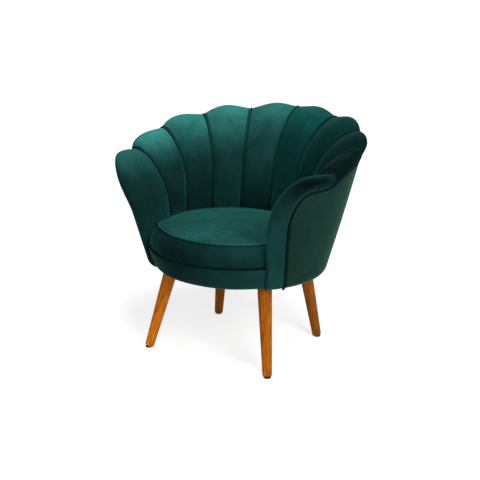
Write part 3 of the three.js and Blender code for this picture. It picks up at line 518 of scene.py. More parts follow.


# Painted light and shade on each piece's velvet: painted highlights on the crests of the right channels and
# the right arm, painted shade over the left channels and the left arm's top, where the deeper hue and a
# weaker
# sheen go with the painted shade. Columns: the sheen's weight, its hue, then heights and strengths
PAINTED_LIGHT_PANELS = {
    "right_arm": (
        0.24, TEAL, [(0.40, 0.78), (0.46, 0.79), (0.54, 0.6), (0.60, 0.6), (0.655, 1.8), (0.68, 2.6)]
    ),
    "right_back_channel_4": (
        0.26, TEAL,
        [(0.45, 0.68), (0.50, 0.55), (0.56, 0.57), (0.60, 0.62), (0.65, 1.5), (0.68, 2.9), (0.71, 5.4)],
    ),
    "right_back_channel_3": (
        0.45, TEAL, [(0.45, 0.5), (0.58, 0.7), (0.62, 0.8), (0.68, 1.7), (0.73, 3.6), (0.755, 5.4)]
    ),
    "right_back_channel_2": (
        0.45, TEAL, [(0.45, 0.95), (0.58, 0.9), (0.63, 0.8), (0.69, 1.6), (0.74, 3.2), (0.775, 4.9)]
    ),
    "right_back_channel_1": (0.45, TEAL, [(0.45, 0.4), (0.60, 0.9), (0.68, 1.2), (0.73, 1.8), (0.79, 3.3)]),
    "left_back_channel_1": (0.3, DEEP, [(0.45, 0.85), (0.60, 0.68), (0.70, 0.68), (0.79, 1.6)]),
    "left_back_channel_2": (0.16, DEEP, [(0.50, 0.6), (0.68, 0.4), (0.74, 0.4), (0.78, 0.7)]),
    "left_back_channel_3": (0.06, DEEP, [(0.50, 0.3), (0.70, 0.34), (0.76, 0.18)]),
    "left_back_channel_4": (0.03, DEEP, [(0.50, 0.3), (0.66, 0.2), (0.72, 0.12)]),
    "left_arm": (0.18, TEAL, [(0.50, 1.35), (0.56, 1.15), (0.60, 0.8), (0.635, 0.3), (0.66, 0.08)]),
}
# One lit or shaded copy of the velvet for each piece, with its painted light and shade
lit_and_shaded_velvets = {
    word: velvet(f"velvet_{word}", hue, tones, UP, sheen(weight), 0.8)
    for word, (weight, hue, tones) in PAINTED_LIGHT_PANELS.items()
}
# The outer cover's velvet, with painted light: lighter towards the front (-y)
cover_velvet = velvet(
    "cover_velvet", GREEN, [(-0.3, 1.0), (0.0, 0.68)], (0.0, 1.0, 0.0), sheen(0.33, "83c4ac", "3f7464"), 0.6
)


# The other pieces' velvets, whose tones of painted light and shade run across the chair or up it
def across_velvet(name, tones, weight, mottle):
    return velvet(name, TEAL, tones, ACROSS, sheen(weight), mottle)


def upright_velvet(name, tones, weight):
    return velvet(name, TEAL, tones, UP, sheen(weight), 0.5)


# Painted shade on the border, darkest at its right end (-x)
border_velvet = across_velvet("border_velvet", [(-0.22, 0.2), (0.0, 0.5), (0.2, 1.25)], 0.22, 0.7)
# Painted shade at the cushion's right end (-x) and painted light over its middle
cushion_velvet = across_velvet(
    "cushion_velvet", [(-0.22, 0.55), (-0.15, 0.85), (-0.04, 1.5), (0.2, 1.25)], 0.36, 1.5
)
# Painted shade on the cushion's sides, darkest at their right end (-x)
side_velvet = across_velvet("side_velvet", [(-0.24, 0.12), (0.0, 0.42), (0.22, 0.95)], 0.2, 0.9)
# Painted highlight along the cushion's piping, with painted shade at its right end (-x)
lit_ridge_velvet = across_velvet("lit_ridge_velvet", [(-0.24, 0.3), (-0.1, 1.3), (0.2, 2.4)], 0.5, 0.5)
# Painted shade on the cords between the left channels, and a painted highlight towards the tops of the centre
# and right cords
shaded_piping = upright_velvet("piping_velvet", [(0.45, 0.4), (0.8, 0.6)], 0.15)
lit_piping = upright_velvet("lit_piping", [(0.45, 0.3), (0.6, 0.5), (0.7, 1.1), (0.78, 1.7)], 0.16)
# Painted shade: a dark velvet with little sheen for the faces in creases beside the cords and under the
# cushion
crease_shade_velvet = upright_velvet("crease_shade_velvet", [(0.3, 0.25), (0.8, 0.25)], 0.04)
# Painted shade: the welt's velvet is darkened like the shadow in the groove between the arm's roll and the
# cover
shaded_welt_velvet = upright_velvet("shaded_welt_velvet", [(0.3, 0.25), (0.8, 0.3)], 0.15)
# Each leg's wood is made lighter or darker by a tone that paints the light falling on it: painted light on
# the front right leg, painted shade on the back left
LEG_HUES = ((0.19, 0.038, 0.0006), (0.44, 0.112, 0.001), (0.60, 0.19, 0.0016))
LEG_LIGHT_TONES = {"front_left": 1.05, "front_right": 1.9, "back_left": 0.85, "back_right": 1.3}
lit_leg_woods = {}
for word, tone in LEG_LIGHT_TONES.items():
    shades = [(*(min(v * tone, 1.0) for v in hue), 1) for hue in LEG_HUES]
    lit_leg_woods[word] = wood(f"stained_wood_{word}", *shades, 60.0, "z", 0.42, 0.02)
ply_wood = wood("plywood", *socket_colors("b8935c", "cfae7a", "dcc090"), 40.0, "x", 0.7)
pine_wood = wood("pine", *socket_colors("c39a5e", "d9b981", "e6cb9b"), 34.0, "x", 0.72)
strap_cloth = woven("webbing", *socket_colors("8f7b5a", "c4b08c"), 0.002)
deck_cloth = woven("deck_cloth", *socket_colors("020a08", "04130f"), 0.0012)
lining_cloth = woven("lining", *socket_colors("0c0c0d", "1c1d1f"), 0.0009)
steel = plain("steel", *socket_colors("7f858b", "b4b9be"), 0.34, 1.0, 90.0, (1, 1, 0.2))
plastic = plain("glide_plastic", *socket_colors("0d0d0e", "1b1b1c"), 0.5, 0.0, 160.0)


# The photo's camera, and a studio for it
def build_camera():
    data = bpy.data.cameras.new("camera")
    data.lens = 72.08
    data.sensor_width = 36.0
    data.shift_x = 0.0052
    data.clip_end = 200.0
    camera = add_object("camera", data)
    camera.location = (1.689, -2.7484, 1.3368)
    camera.rotation_euler = (math.radians(73.18), 0.0, math.radians(32.21))
    bpy.context.scene.camera = camera


def area_light(name, place, size, power):
    data = bpy.data.lights.new(name, "AREA")
    data.shape = "RECTANGLE"
    data.size, data.size_y = size
    data.energy = power
    light = add_object(name, data)
    light.location = place
    light.rotation_euler = (Vector(LIT_POINT) - Vector(place)).to_track_quat("-Z", "Y").to_euler()


LIT_POINT = (0.0, 0.0, 0.5)
WORLD_STRENGTH = 0.14
WHITE = grey(1.0)


def build_studio():
    area_light("key", (2.7, -1.7, 2.0), (1.5, 1.5), 62.0)
    area_light("top", (0.5, -0.5, 2.9), (1.3, 1.3), 60.0)
    world = bpy.data.worlds.new("studio")
    bpy.context.scene.world = world
    world.use_nodes = True
    n = Nodes(world.node_tree)
    light = n.tree.nodes["Background"]
    n.fill(light.inputs, {"Color": WHITE, "Strength": WORLD_STRENGTH})
    white = n.node("ShaderNodeBackground", {"Color": WHITE, "Strength": 1.0})
    seen = n.seen("Is Glossy Ray", "Is Transmission Ray")
    both = n.node("ShaderNodeMixShader", {0: seen, 1: light.outputs[0], 2: white.outputs[0]})
    n.fill(n.tree.nodes["World Output"].inputs, {"Surface": both.outputs[0]})
    build_floor()
    bpy.context.scene.view_settings.view_transform = "Standard"


# A floor whose white is partly its own, so the chair's shadow on it stays faint. Its own white grows
# with the distance in metres from the chair, so that it meets the white behind it.
FLOOR_SIZE, FLOOR_DROP = 40.0, 0.0005
NEAR, FAR = 0.9, 2.6
NEAR_GLOW, FAR_GLOW = 0.74, 1.0


def build_floor():
    s = Shader("floor", 0.9)
    s.set({"Base Color": grey(0.8), "Specular IOR Level": 0.0})
    place = s.node("ShaderNodeTexCoord").outputs["Object"]
    away = s.node("ShaderNodeVectorMath", {0: place}, operation="LENGTH").outputs["Value"]
    limits = {"From Min": NEAR, "From Max": FAR, "To Min": NEAR_GLOW, "To Max": FAR_GLOW}
    glow = s.node("ShaderNodeMapRange", {"Value": away, **limits}).outputs["Result"]
    white = s.node("ShaderNodeEmission", {"Color": WHITE, "Strength": glow})
    none = s.node("ShaderNodeEmission", {"Color": grey(0.0), "Strength": 0.0})
    seen = s.seen("Is Glossy Ray")
    own = s.node("ShaderNodeMixShader", {0: seen, 1: none.outputs[0], 2: white.outputs[0]})
    both = s.node("ShaderNodeAddShader", {0: s.surface.outputs[0], 1: own.outputs[0]})
    s.fill(s.tree.nodes["Material Output"].inputs, {"Surface": both.outputs[0]})
    corners = [(x * FLOOR_SIZE, y * FLOOR_SIZE, 0) for x, y in ((-1, -1), (1, -1), (1, 1), (-1, 1))]
    floor = new_object("floor", corners, [(0, 1, 2, 3)], s.material)
    floor.location.z = -FLOOR_DROP


# Back channels, with lengths in millimetres and angles in degrees
CHANNEL_COLUMNS = 46
# Painted shade on this many columns beside each cord
CREASE_COLUMNS = 4  # shaded dark beside each cord
CORD_GAP = 0.032  # left free for the cord at each seam
DIP, DIP_REACH = 2.6, 3.2  # the velvet turns down into the seam beside each cord
PETAL_START, PETAL_RUN = 150, 170  # along the outline, where the wall's pad turns into the petal
PUCKER, PUCKER_LENGTH, PUCKER_REACH = 0.9, 34, 14
PUCKER_START, PUCKER_RUN = 120, 160
BACK_RADIUS = 330  # of the padding, to turn angles into widths
WELT_LEDGE = 7.6  # the channel's back clears the welt by this height
SIDES = (("left", 1), ("right", -1))
WALL_ROWS, SHOULDER_ROWS, FLAP_ROWS = 14, 30, 16
PRESSURE, ARM_PRESSURE = 2.5, 2.0


# How deep a flap's edge is tucked in beside a cord, over the last of its width.
def tucked(t, start, depth):
    return depth * clamp01((t - start) / (1 - start)) ** 2


# The seam line's outline at one angle: heights, insets and how much of the fullness each point takes.
def valley(angle):
    crest = crest_at(angle)
    low = crest - SHOULDER
    t = np.linspace(0, 1, WALL_ROWS, endpoint=False)
    heights = [mix(SEAT_LINE, low, t)]
    insets = [wall_inset(angle, crest - heights[0])]
    swells = [mix(0.5, 1.0, smooth(t))]
    turn = np.linspace(math.pi / 2, 0, SHOULDER_ROWS)
    heights.append(crest - SHOULDER * (1 - np.cos(turn)))
    insets.append(CREST_INSET + (full_wall(angle) - CREST_INSET) * np.sin(turn))
    swells.append(np.ones_like(turn))
    t = np.linspace(0, 1, FLAP_ROWS + 1)[1:]
    turn = t * math.pi / 2
    heights.append(crest - (FLAP_DROP - WELT_GAP) * (1 - np.cos(turn)))
    insets.append(CREST_INSET - (CREST_INSET + FLAP_PROUD) * np.sin(turn) + tucked(t, 0.86, 4.2))
    swells.append(mix(1.0, 0.3, t) * np.sqrt(1 - t**6))
    lifts = np.concatenate([np.zeros(WALL_ROWS + SHOULDER_ROWS), 0.5 * smooth((t - 0.35) / 0.65)])
    return np.concatenate(heights), np.concatenate(insets), np.concatenate(swells), lifts


def outline_normals(height, inset):
    rise, run = np.gradient(height), np.gradient(inset)
    length = np.hypot(rise, run)
    return -run / length, rise / length


# The distance in millimetres along the outline from the seat line, for puckers that follow it.
def travelled(height, inset):
    return np.concatenate([[0], np.cumsum(np.hypot(np.diff(height), np.diff(inset)))])


def channel(side, number, name):
    low, high = (number - 1) * SEAM_STEP + CORD_GAP, number * SEAM_STEP - CORD_GAP
    t = (1 - np.cos(np.linspace(0, math.pi, CHANNEL_COLUMNS + 1))) / 2
    t = mix(np.linspace(0, 1, CHANNEL_COLUMNS + 1), t, 0.75)
    rings = []
    for share in t:
        angle = mix(low, high, share)
        height, inset, swell, lift = valley(angle)
        up, inward = outline_normals(height, inset)
        way = travelled(height, inset)
        petal = smooth((way - PETAL_START) / PETAL_RUN)
        edge = min(share, 1 - share)
        dip = DIP * math.exp(-((edge * math.radians(high - low) * BACK_RADIUS / DIP_REACH) ** 2))
        pad = bump(share, 3.2) ** 0.85
        full = FULLNESSES[number - 1] * mix(pad, scallop(share, number), petal)
        near = sum(
            np.exp(-abs(share - seam) * 150 / PUCKER_REACH)
            * waves(way, PUCKER_LENGTH, 40 * number + int(5 + 2 * seam + side))
            for seam in (0.0, 1.0)
        )
        crinkle = PUCKER * min(1.0, edge * 22) * near * smooth((way - PUCKER_START) / PUCKER_RUN)
        push = full * swell + crinkle - dip
        h = height + up * push + lift * full
        i = inset + inward * push
        front = shell(side * angle, h, i, np.maximum(h, SEAT_LINE))
        foot = shell(side * angle, [PAD_BOTTOM, (PAD_BOTTOM + SEAT_LINE) / 2], i[0], SEAT_LINE)
        clear = outer_seam(angle) + WELT_LEDGE
        back = shell(
            side * angle,
            [h[-1] - 0.2, clear, clear, (clear + PAD_BOTTOM) / 2, PAD_BOTTOM],
            [COVER, COVER, PAD_INSET, PAD_INSET, PAD_INSET],
        )
        rings.append(np.concatenate([foot, front, back]))
    rings = np.array(rings)
    obj = loft(f"{name}_padding", rings, lit_and_shaded_velvets[name])
    rows = rings.shape[1]
    smooth_columns = range(CREASE_COLUMNS, CHANNEL_COLUMNS - CREASE_COLUMNS)
    # Painted shade on the columns beside each cord
    shade(obj, crease_shade_velvet, lambda p: min(p.vertices) // rows not in smooth_columns)
    held = np.zeros(rings.shape[:2])
    held[:, :4] = held[:, -7:] = 1
    held[:2] = held[-2:] = 1
    held[2] = held[-3] = 0.5
    inflate(obj, held.ravel(), PRESSURE)
    return obj


def seam_path(angle):
    height, inset, _, _ = valley(angle)
    up, inward = outline_normals(height, inset)
    top = WALL_ROWS + SHOULDER_ROWS
    lift = mix(4.4, 0.8, smooth((np.arange(len(height)) - top + 12) / 12))
    h, i, up, inward = (v[:-3] for v in (height + up * lift, inset + inward * lift, up, inward))
    path = shell(angle, h, i, np.maximum(h, SEAT_LINE))
    return path, shell(angle, h + up * 10, i + inward * 10) - shell(angle, h, i)


def build_channels():
    for word, side in SIDES:
        for number in range(1, CHANNELS + 1):
            name = f"{word}_back_channel_{number}"
            obj = channel(side, number, name)
            finish_piece(obj, [name])
    for number in range(-CHANNELS, CHANNELS + 1):
        word = "left" if number > 0 else "right"
        node = f"{word}_seam_piping_{abs(number)}" if number else "center_seam_piping"
        path, out = seam_path(number * SEAM_STEP)
        radius = 0.0030 * (1 + 0.05 * waves(np.arange(len(path)), 9, number + 30))
        # The centre and right cords take the painted highlight, the left ones the painted shade
        piping = lit_piping if number < 1 else shaded_piping
        obj = cord(f"{node}_cord", path, radius, piping, out, tape=0.003)
        finish_piece(obj, [node])


# Arm pads and the facings below them
ARM_COLUMNS, FACING_COLUMNS = 72, 22
INNER_ROWS, ARM_FLAP_ROWS = 34, 20
ARM_START = LAST_SEAM + 0.6 * ARM_DEGREES
PAD_BACK = COVER + 0.4
NOSE, FACING_NOSE, FACING_ROUNDING = 4.0, 2.5, 3.5
ARM_PUCKER, ARM_PUCKER_LENGTH = 1.1, 26
FALLS = (0.03, 0.09, 0.16, 0.25, 0.4, 0.6, 0.8, 1.0)  # shares of the facing's straight drop
ROLL_SHARE = 0.8  # of the bend under the base, after which it runs flat
FACING_BLEND = 10.0  # the arm turns into the facing over this height
FACING_LIP = 0.25  # degrees from the facing's edge to the end of its inner side
FLAP_TUCK = (0.88, 4.0)  # from this share of a flap's width on, and how deep at its end
TOWARDS_INSIDE = np.linspace(1, 0, INNER_ROWS, endpoint=False) ** 1.9
ACROSS_FLAP = np.linspace(0, 1, ARM_FLAP_ROWS)
FLAP_TURN = ACROSS_FLAP * math.pi / 2


# A section of the arm pad at a share of its way from the last seam, over the top, to the front's foot
def arm_section(side, share):
    t = ACROSS_FLAP
    edge_a, edge_h = arm_line(EDGE, share, 0.0, PAD_BOTTOM)
    welt_a, welt_h = arm_line(WELT, share, 0.0, PAD_BOTTOM)
    edge_a, welt_a = max(edge_a, ARM_START), max(welt_a, ARM_START)
    foot_a = mix(ARM_START, FOOT_END, smooth(share))
    nose = mix(NOSE, CREST_INSET, clamp01((edge_h - PAD_BOTTOM) / (SEAT_LINE - PAD_BOTTOM)))
    fade = smooth((edge_h - SEAT_LINE) / (ARM_ROLL_TOP - SEAT_LINE))
    roll = ARM_ROLL * fade * math.sin(math.pi / 2 * min(share / ARM_ROLL_RAMP, 1))
    angle = mix(edge_a, foot_a, TOWARDS_INSIDE)
    height = mix(edge_h, PAD_BOTTOM, TOWARDS_INSIDE)
    level = np.maximum(height, SEAT_LINE)
    distance = arm_distance(angle, level)
    rise = smooth(distance / ARM_REACH)
    swell = ARM_FULLNESS * bump(min(share, 0.5)) * rise * smooth((height - SEAT_LINE) / ARM_RISE)
    flare = mix(height, level, smooth(distance / NOSE_REACH))
    inner = shell(side * angle, height, wall_inset(angle, distance, nose) + swell, flare)
    width = math.hypot((edge_a - welt_a) / ARM_DEGREES, edge_h - welt_h)
    reach = (1 - WELT_EDGE / width) * (1 - np.cos(FLAP_TURN))
    pucker = waves(share * 420, ARM_PUCKER_LENGTH, 90 + side)
    pucker = pucker * smooth((t - 0.45) / 0.35) * (1 - smooth((t - 0.9) / 0.1))
    pucker *= ARM_PUCKER * smooth(share / 0.1) * (1 - 0.75 * smooth((share - 0.5) / 0.2))
    flap_a, flap_h = mix(edge_a, welt_a, reach), mix(edge_h, welt_h, reach)
    flap_i = nose - (nose + FLAP_PROUD) * np.sin(FLAP_TURN) - roll * np.sin(2 * FLAP_TURN)
    flap = shell(side * flap_a, flap_h, flap_i + tucked(t, *FLAP_TUCK) - pucker)
    closing_a = side * np.array([welt_a, flap_a[-1], foot_a])
    closing = shell(closing_a, [welt_h, flap_h[-1], PAD_BOTTOM], [COVER, PAD_BACK, PAD_BACK])
    return np.concatenate([inner, flap, closing])


# A section of the facing at a drop below the pad and a bend, from 0 to 1, under the base. At its top
# its inner side still follows the arm pad's last section.
def facing_section(side, drop, bend, arm_inner):
    turn = min(bend / ROLL_SHARE, 1.0) * math.pi / 2
    under = max(bend - ROLL_SHARE, 0.0) / (1 - ROLL_SHARE) * (FLANGE - LOWER_RADIUS)
    z = PAD_BOTTOM - drop - LOWER_RADIUS * math.sin(turn)
    inward = LOWER_RADIUS * (1 - math.cos(turn)) + under
    facing = smooth(drop / FACING_BLEND)
    edge_a = mix(front_angle(EDGE, z), FACING_END, facing)
    welt_a = front_angle(WELT, z, -WELT_EDGE)
    nose = mix(NOSE, FACING_NOSE, facing)
    across = 1 - np.cos(FLAP_TURN)
    proud = mix(FLAP_PROUD, 0.6, facing)
    rounded = FACING_ROUNDING * facing
    face = nose * (1 - np.sin(FLAP_TURN)) - proud * np.sin(FLAP_TURN) + tucked(ACROSS_FLAP, *FLAP_TUCK)
    face = face + rounded * np.exp(-across * abs(edge_a - welt_a) / ARM_DEGREES / 2.6)
    flap = shell(side * mix(edge_a, welt_a, across), z, inward + face)
    inner_end = edge_a - FACING_LIP
    depth = inward + nose + rounded + 15 * TOWARDS_INSIDE
    inner = shell(side * mix(edge_a, inner_end, TOWARDS_INSIDE), z, depth)
    inner = mix(arm_inner - np.array([0, 0, drop / 1000]), inner, smooth(drop / 12.0))
    closing_a = side * np.array([front_angle(WELT, z), welt_a, inner_end])
    closing = shell(closing_a, z, inward + np.array([COVER, PAD_BACK, COVER + 12.0]))
    return np.concatenate([inner, flap, closing])


def arm_pad(side, name):
    rings = [arm_section(side, share) for share in np.linspace(0, 1, ARM_COLUMNS + 1)]
    arm_inner = rings[-1][:INNER_ROWS]
    bent = FACING_COLUMNS - len(FALLS)
    drops = np.array(FALLS + (1.0,) * bent) * (PAD_BOTTOM - LOWER_TOP)
    bends = np.concatenate([np.zeros(len(FALLS)), np.linspace(0, 1, bent + 2)[1:-1]])
    rings += [facing_section(side, drop, bend, arm_inner) for drop, bend in zip(drops, bends)]
    rings = np.array(rings)
    obj = loft(f"{name}_padding", rings, lit_and_shaded_velvets[name])
    held = np.zeros(rings.shape[:2])
    held[:, :4] = held[:, -6:] = 1
    held[:2] = held[ARM_COLUMNS - 2 :] = 1
    held[ARM_COLUMNS - 12 : ARM_COLUMNS - 2] = np.linspace(0, 1, 10)[:, None]
    inflate(obj, held.ravel(), ARM_PRESSURE)
    return obj


def build_arms():
    for word, side in SIDES:
        obj = arm_pad(side, f"{word}_arm")
        finish_piece(obj, [f"{word}_arm_pad"])


# Outer cover, edge welt and front border
CUT_EDGE = [(0.2, 4.0), (0.2, 2.2), (0.8, 0.9), (2.4, 0.1)]  # drops and insets of a cover's top edge
BELLY, BELLY_RUN = 2.4, 6  # the outer cover's, and the degrees from its ends over which it grows
COVER_PUCKER, COVER_PUCKER_LENGTH, COVER_PUCKER_REACH = 0.7, 27, 13
BORDER_BELLY, BORDER_BELLY_RUN = 1.6, 30
BORDER_PUCKER, BORDER_PUCKER_LENGTH, BORDER_PUCKER_REACH = 0.6, 22, 14
BORDER_FOLD = 2.6


def cover_rows(top, inset, thickness):
    outer = [(top - drop, inset + back) for drop, back in CUT_EDGE]
    straight = [(mix(top - 5, LOWER_TOP, t), inset) for t in np.linspace(0, 1, 26)]

    def roll(turns, high, wide):
        middle = inset + LOWER_RADIUS
        return [(LOWER_TOP - high * math.sin(turn), middle - wide * math.cos(turn)) for turn in turns]

    outside = roll(np.linspace(0, math.pi / 2, 13)[1:], LOWER_RADIUS, LOWER_RADIUS)
    under = [(UNDERSIDE, inset + FLANGE), (UNDERSIDE + FLANGE_THICKNESS, inset + FLANGE)]
    inside = roll(np.linspace(math.pi / 2, 0, 7), LOWER_RADIUS - FLANGE_THICKNESS, LOWER_RADIUS - thickness)
    return np.array(outer + straight + outside + under + inside + [(top - 0.2, inset + thickness)])


def build_cover():
    end = CORNER + (WELT["spread"] - WELT_GAP * ARM_DEGREES) * 0.985
    angles = np.linspace(-end, end, 201)
    at_corner = front_angle(WELT, WELT["corner"], WELT_GAP)
    rings = []
    for angle in angles:
        across = abs(angle)
        over_arm = across > LAST_SEAM
        top = arm_height_at(WELT, across, WELT_EDGE) if over_arm else outer_seam(angle) - WELT_EDGE
        rows = cover_rows(top, 0.0, COVER)
        leaning = angle * front_angle(WELT, rows[:, 0], WELT_GAP) / at_corner
        share = clamp01((rows[:, 0] - LOWER_TOP) / (top - LOWER_TOP))
        outer = rows[:, 1] < COVER - 0.01
        belly = BELLY * np.sin(math.pi * share) ** 0.8 * min((end - across) / BELLY_RUN, 1.0)
        below = top - rows[:, 0]
        near = np.exp(-np.maximum(below, 0) / COVER_PUCKER_REACH) * smooth(below / 5)
        pucker = COVER_PUCKER * near * waves(angle * 7.3, COVER_PUCKER_LENGTH, 12)
        rows[:, 1] -= np.where(outer & (rows[:, 0] > LOWER_TOP), belly + pucker, 0)
        rings.append(shell(leaning, rows[:, 0], rows[:, 1]))
    obj = loft("outer_cover_fabric", rings, cover_velvet)
    finish_piece(obj, ["outer_cover"])


def build_welt():
    half = [(a, outer_seam(a), 0.0) for a in np.linspace(0, LAST_SEAM, 100, endpoint=False)]
    angle, height = arm_line(WELT, np.linspace(0, 1, 90), 0.0, LOWER_TOP)
    half += [(a, h, 0.0) for a, h in zip(angle, height)]
    for turn in np.linspace(0, math.pi * 0.4, 14)[1:]:
        z = LOWER_TOP - (LOWER_RADIUS + 4.0) * math.sin(turn)
        half.append((front_angle(WELT, z), z, LOWER_RADIUS * (1 - math.cos(turn))))
    angle, height, inset = np.array([(-a, h, i) for a, h, i in half[:0:-1]] + half).T
    path = shell(angle, height, inset)
    out = shell(angle, height, inset - 10) - path
    radius = 0.0034 * (1 + 0.05 * waves(np.arange(len(path)), 7, 3))
    radius[:3] *= (0.6, 0.85, 0.97)
    radius[-3:] *= (0.97, 0.85, 0.6)
    obj = cord("outer_edge_welt_cord", path, radius, shaded_welt_velvet, out, tape=0.003)
    finish_piece(obj, ["outer_edge_welt"])


def build_border():
    end = 180 - FACING_END - 0.2 * ARM_DEGREES
    t = np.linspace(-1, 1, 97)
    angles = np.sign(t) * (1 - (1 - np.abs(t)) ** 1.25) * end
    rings = []
    for angle in angles:
        inset = BORDER_INSET + border_recess(angle)
        rows = cover_rows(DECK_TOP, inset, BORDER_BACK - inset)
        across = (end - abs(angle)) / ARM_DEGREES
        fold = BORDER_FOLD * math.exp(-across / 3.0)
        share = clamp01((rows[:, 0] - LOWER_TOP) / (DECK_TOP - LOWER_TOP))
        near = math.exp(-across / BORDER_PUCKER_REACH) * smooth(across / 5)
        pucker = BORDER_PUCKER * near * waves(rows[:, 0], BORDER_PUCKER_LENGTH, 77)
        belly = BORDER_BELLY * np.sin(math.pi * share) * min(across / BORDER_BELLY_RUN, 1.0)
        rows[:, 1] += np.where(rows[:, 1] < BORDER_BACK - 0.01, fold + pucker - belly, 0)
        rings.append(shell(180 + angle, rows[:, 0], rows[:, 1]))
    obj = loft("front_border_fabric", rings, border_velvet)
    # Painted shade along the border's top, under the cushion
    shade(obj, crease_shade_velvet, lambda p: p.center.z > (DECK_TOP - 1.7) / 1000)
    finish_piece(obj, ["front_border"])


# Seat cushion
CUSHION_CENTER, CUSHION_SIDE, CUSHION_BACK, CUSHION_BACK_POWER = -32.0, 235.0, 232.0, 2.2
CUSHION_FRONT, CUSHION_LEAN, CUSHION_EDGE_LEAN = 10.0, 3.0, 31.0  # its front's insets: low, then as it rises
CUSHION_GAP = 3.2  # to the padding
CROWN, CROWN_POWER = 13.0, 2.3
BACK_SINK, SINK_RUN = 5.0, 0.2  # the cushion's top lies this much lower at the back, over a run in metres
CUSHION_PROFILE = [  # heights above its bottom, and how far each is drawn in
    (0, 60), (0, 24), (0.2, 7), (1.4, 2.6), (5, 0.2), (14, -2.0), (28, -3.2), (44, -2.6),
    (CUSHION_HEIGHT - 10, -0.4), (CUSHION_HEIGHT - 2, 1.6),
    (CUSHION_HEIGHT + 2, 3.6), (CUSHION_HEIGHT + 5, 6.5),
]
CROWN_SHARES = (0.97, 0.93, 0.87, 0.79, 0.7, 0.6, 0.5, 0.4, 0.3, 0.2, 0.1, 0.03)


def padding_inset(angle, height):
    across = np.abs(angle)
    arm = wall_inset(angle, arm_distance(across, height + 0 * across))
    back = wall_inset(angle, crest_at(angle) - height) + 0.5 * fullness_at(angle)
    arm = np.where(across >= front_angle(EDGE, height), CREST_INSET, arm)
    return np.where(across <= LAST_SEAM, back, arm)


# The shorter of two reaches, with the corner between them rounded
def nearer(first, second, rounding):
    return (first + second - np.hypot(first - second, rounding)) / 2


# The cushion's outline at a height, drawn in by a length. In front it follows the border and leans back
# towards its top edge, its sides are straight and its back is an oval, and it stays off the padding.
def cushion_ring(height, drawn, count=240):
    angle = np.linspace(-180, 180, count, endpoint=False)
    rise = clamp01((height - PAD_BOTTOM) / CUSHION_HEIGHT)
    wall = shell(angle, SEAT_LINE, padding_inset(angle, SEAT_LINE)) * 1000
    wall[:, 1] -= SHIFT_Y + CUSHION_CENTER
    heading = np.arctan2(wall[:, 0], wall[:, 1])
    s, c = np.sin(heading), np.cos(heading)
    level = (PAD_BOTTOM - UNDERSIDE) / (CREST - UNDERSIDE)
    inset = CUSHION_FRONT + CUSHION_LEAN * rise + CUSHION_EDGE_LEAN * rise**4
    inset = inset + border_recess(180 - np.abs(np.degrees(heading)))
    a, b = mix(BASE_SIDE, TOP_RADIUS, level) - inset, mix(BASE_FRONT, TOP_RADIUS, level) - inset
    square, cross = (s / a) ** 2 + (c / b) ** 2, CUSHION_CENTER * c / b**2
    front = (np.sqrt(cross**2 - square * ((CUSHION_CENTER / b) ** 2 - 1)) - cross) / square
    front = nearer(front, CUSHION_SIDE / np.maximum(np.abs(s), 1e-3), mix(9.0, 18.0, rise**2))
    power = CUSHION_BACK_POWER
    back = (np.abs(s / CUSHION_SIDE) ** power + np.abs(c / CUSHION_BACK) ** power) ** (-1 / power)
    reach = nearer(np.hypot(wall[:, 0], wall[:, 1]) - CUSHION_GAP, np.where(c > 0, back, front), 6.0)
    reach = np.convolve(np.concatenate([reach[-3:], reach, reach[:3]]), np.ones(7) / 7, "valid")
    ring = np.stack([reach * s, reach * c], -1)
    along = heading_along(ring, True)
    x, y = (ring + np.stack([along[:, 1], -along[:, 0]], -1) * drawn).T
    return np.column_stack([x, y + SHIFT_Y + CUSHION_CENTER, np.full(count, height)]) / 1000


# How far the top of the cushion has sunk at points of it, in millimetres
def back_sink(points, middle):
    return BACK_SINK * smooth((points[:, 1] - middle) / SINK_RUN)


def build_cushion():
    rings = []
    for height, drawn in CUSHION_PROFILE:
        ring = cushion_ring(PAD_BOTTOM + height, drawn)
        ring[:, 2] -= clamp01((height - 30) / 38) * back_sink(ring, ring[:, 1].mean()) / 1000
        rings.append(ring)
    last = rings[-1]
    middle = last.mean(0)
    sunk = back_sink(last, middle[1])
    top = PAD_BOTTOM + CUSHION_PROFILE[-1][0]
    for share in CROWN_SHARES:
        ring = middle + (last - middle) * share
        ring[:, 2] = (top + CROWN * (1 - share**CROWN_POWER) - sunk * share) / 1000
        rings.append(ring)
    obj = loft("seat_cushion_body", rings, cushion_velvet)
    foot, side_points = (PAD_BOTTOM + 3.0) / 1000, (len(CUSHION_PROFILE) - 1) * len(last)
    # Painted shade along the cushion's foot
    shade(obj, crease_shade_velvet, lambda p: p.center.z < foot)
    shade(obj, side_velvet, lambda p: p.center.z >= foot and max(p.vertices) < side_points)
    finish_piece(obj, ["seat_cushion"])

    # The piping lies on the cut edge
    path = cushion_ring(CUSHION_EDGE + 3.2, 0.4)
    path[:, 2] -= back_sink(path, path[:, 1].mean()) / 1000
    inner = cushion_ring(CUSHION_EDGE - 6, 12.0)
    radius = 0.0031 * (1 + 0.04 * waves(np.arange(len(path)), 240 / 31, 5))
    piping = cord("seat_cushion_cord", path, radius, lit_ridge_velvet, path - inner, looped=True, tape=0.002)
    finish_piece(piping, ["seat_cushion_piping"])


# Stretched cloths, with lengths in millimetres and their grids in metres
GRID_REACH, GRID_STEP, HOLE_MARGIN = 0.34, 0.02, 0.006
DUST_HEIGHT, DUST_SAG, LEG_HOLE = 293.9, 1.5, 0.0257
DECK_HEIGHT, DECK_FLARE, DECK_SAG = 369.8, 362.8, 1.0


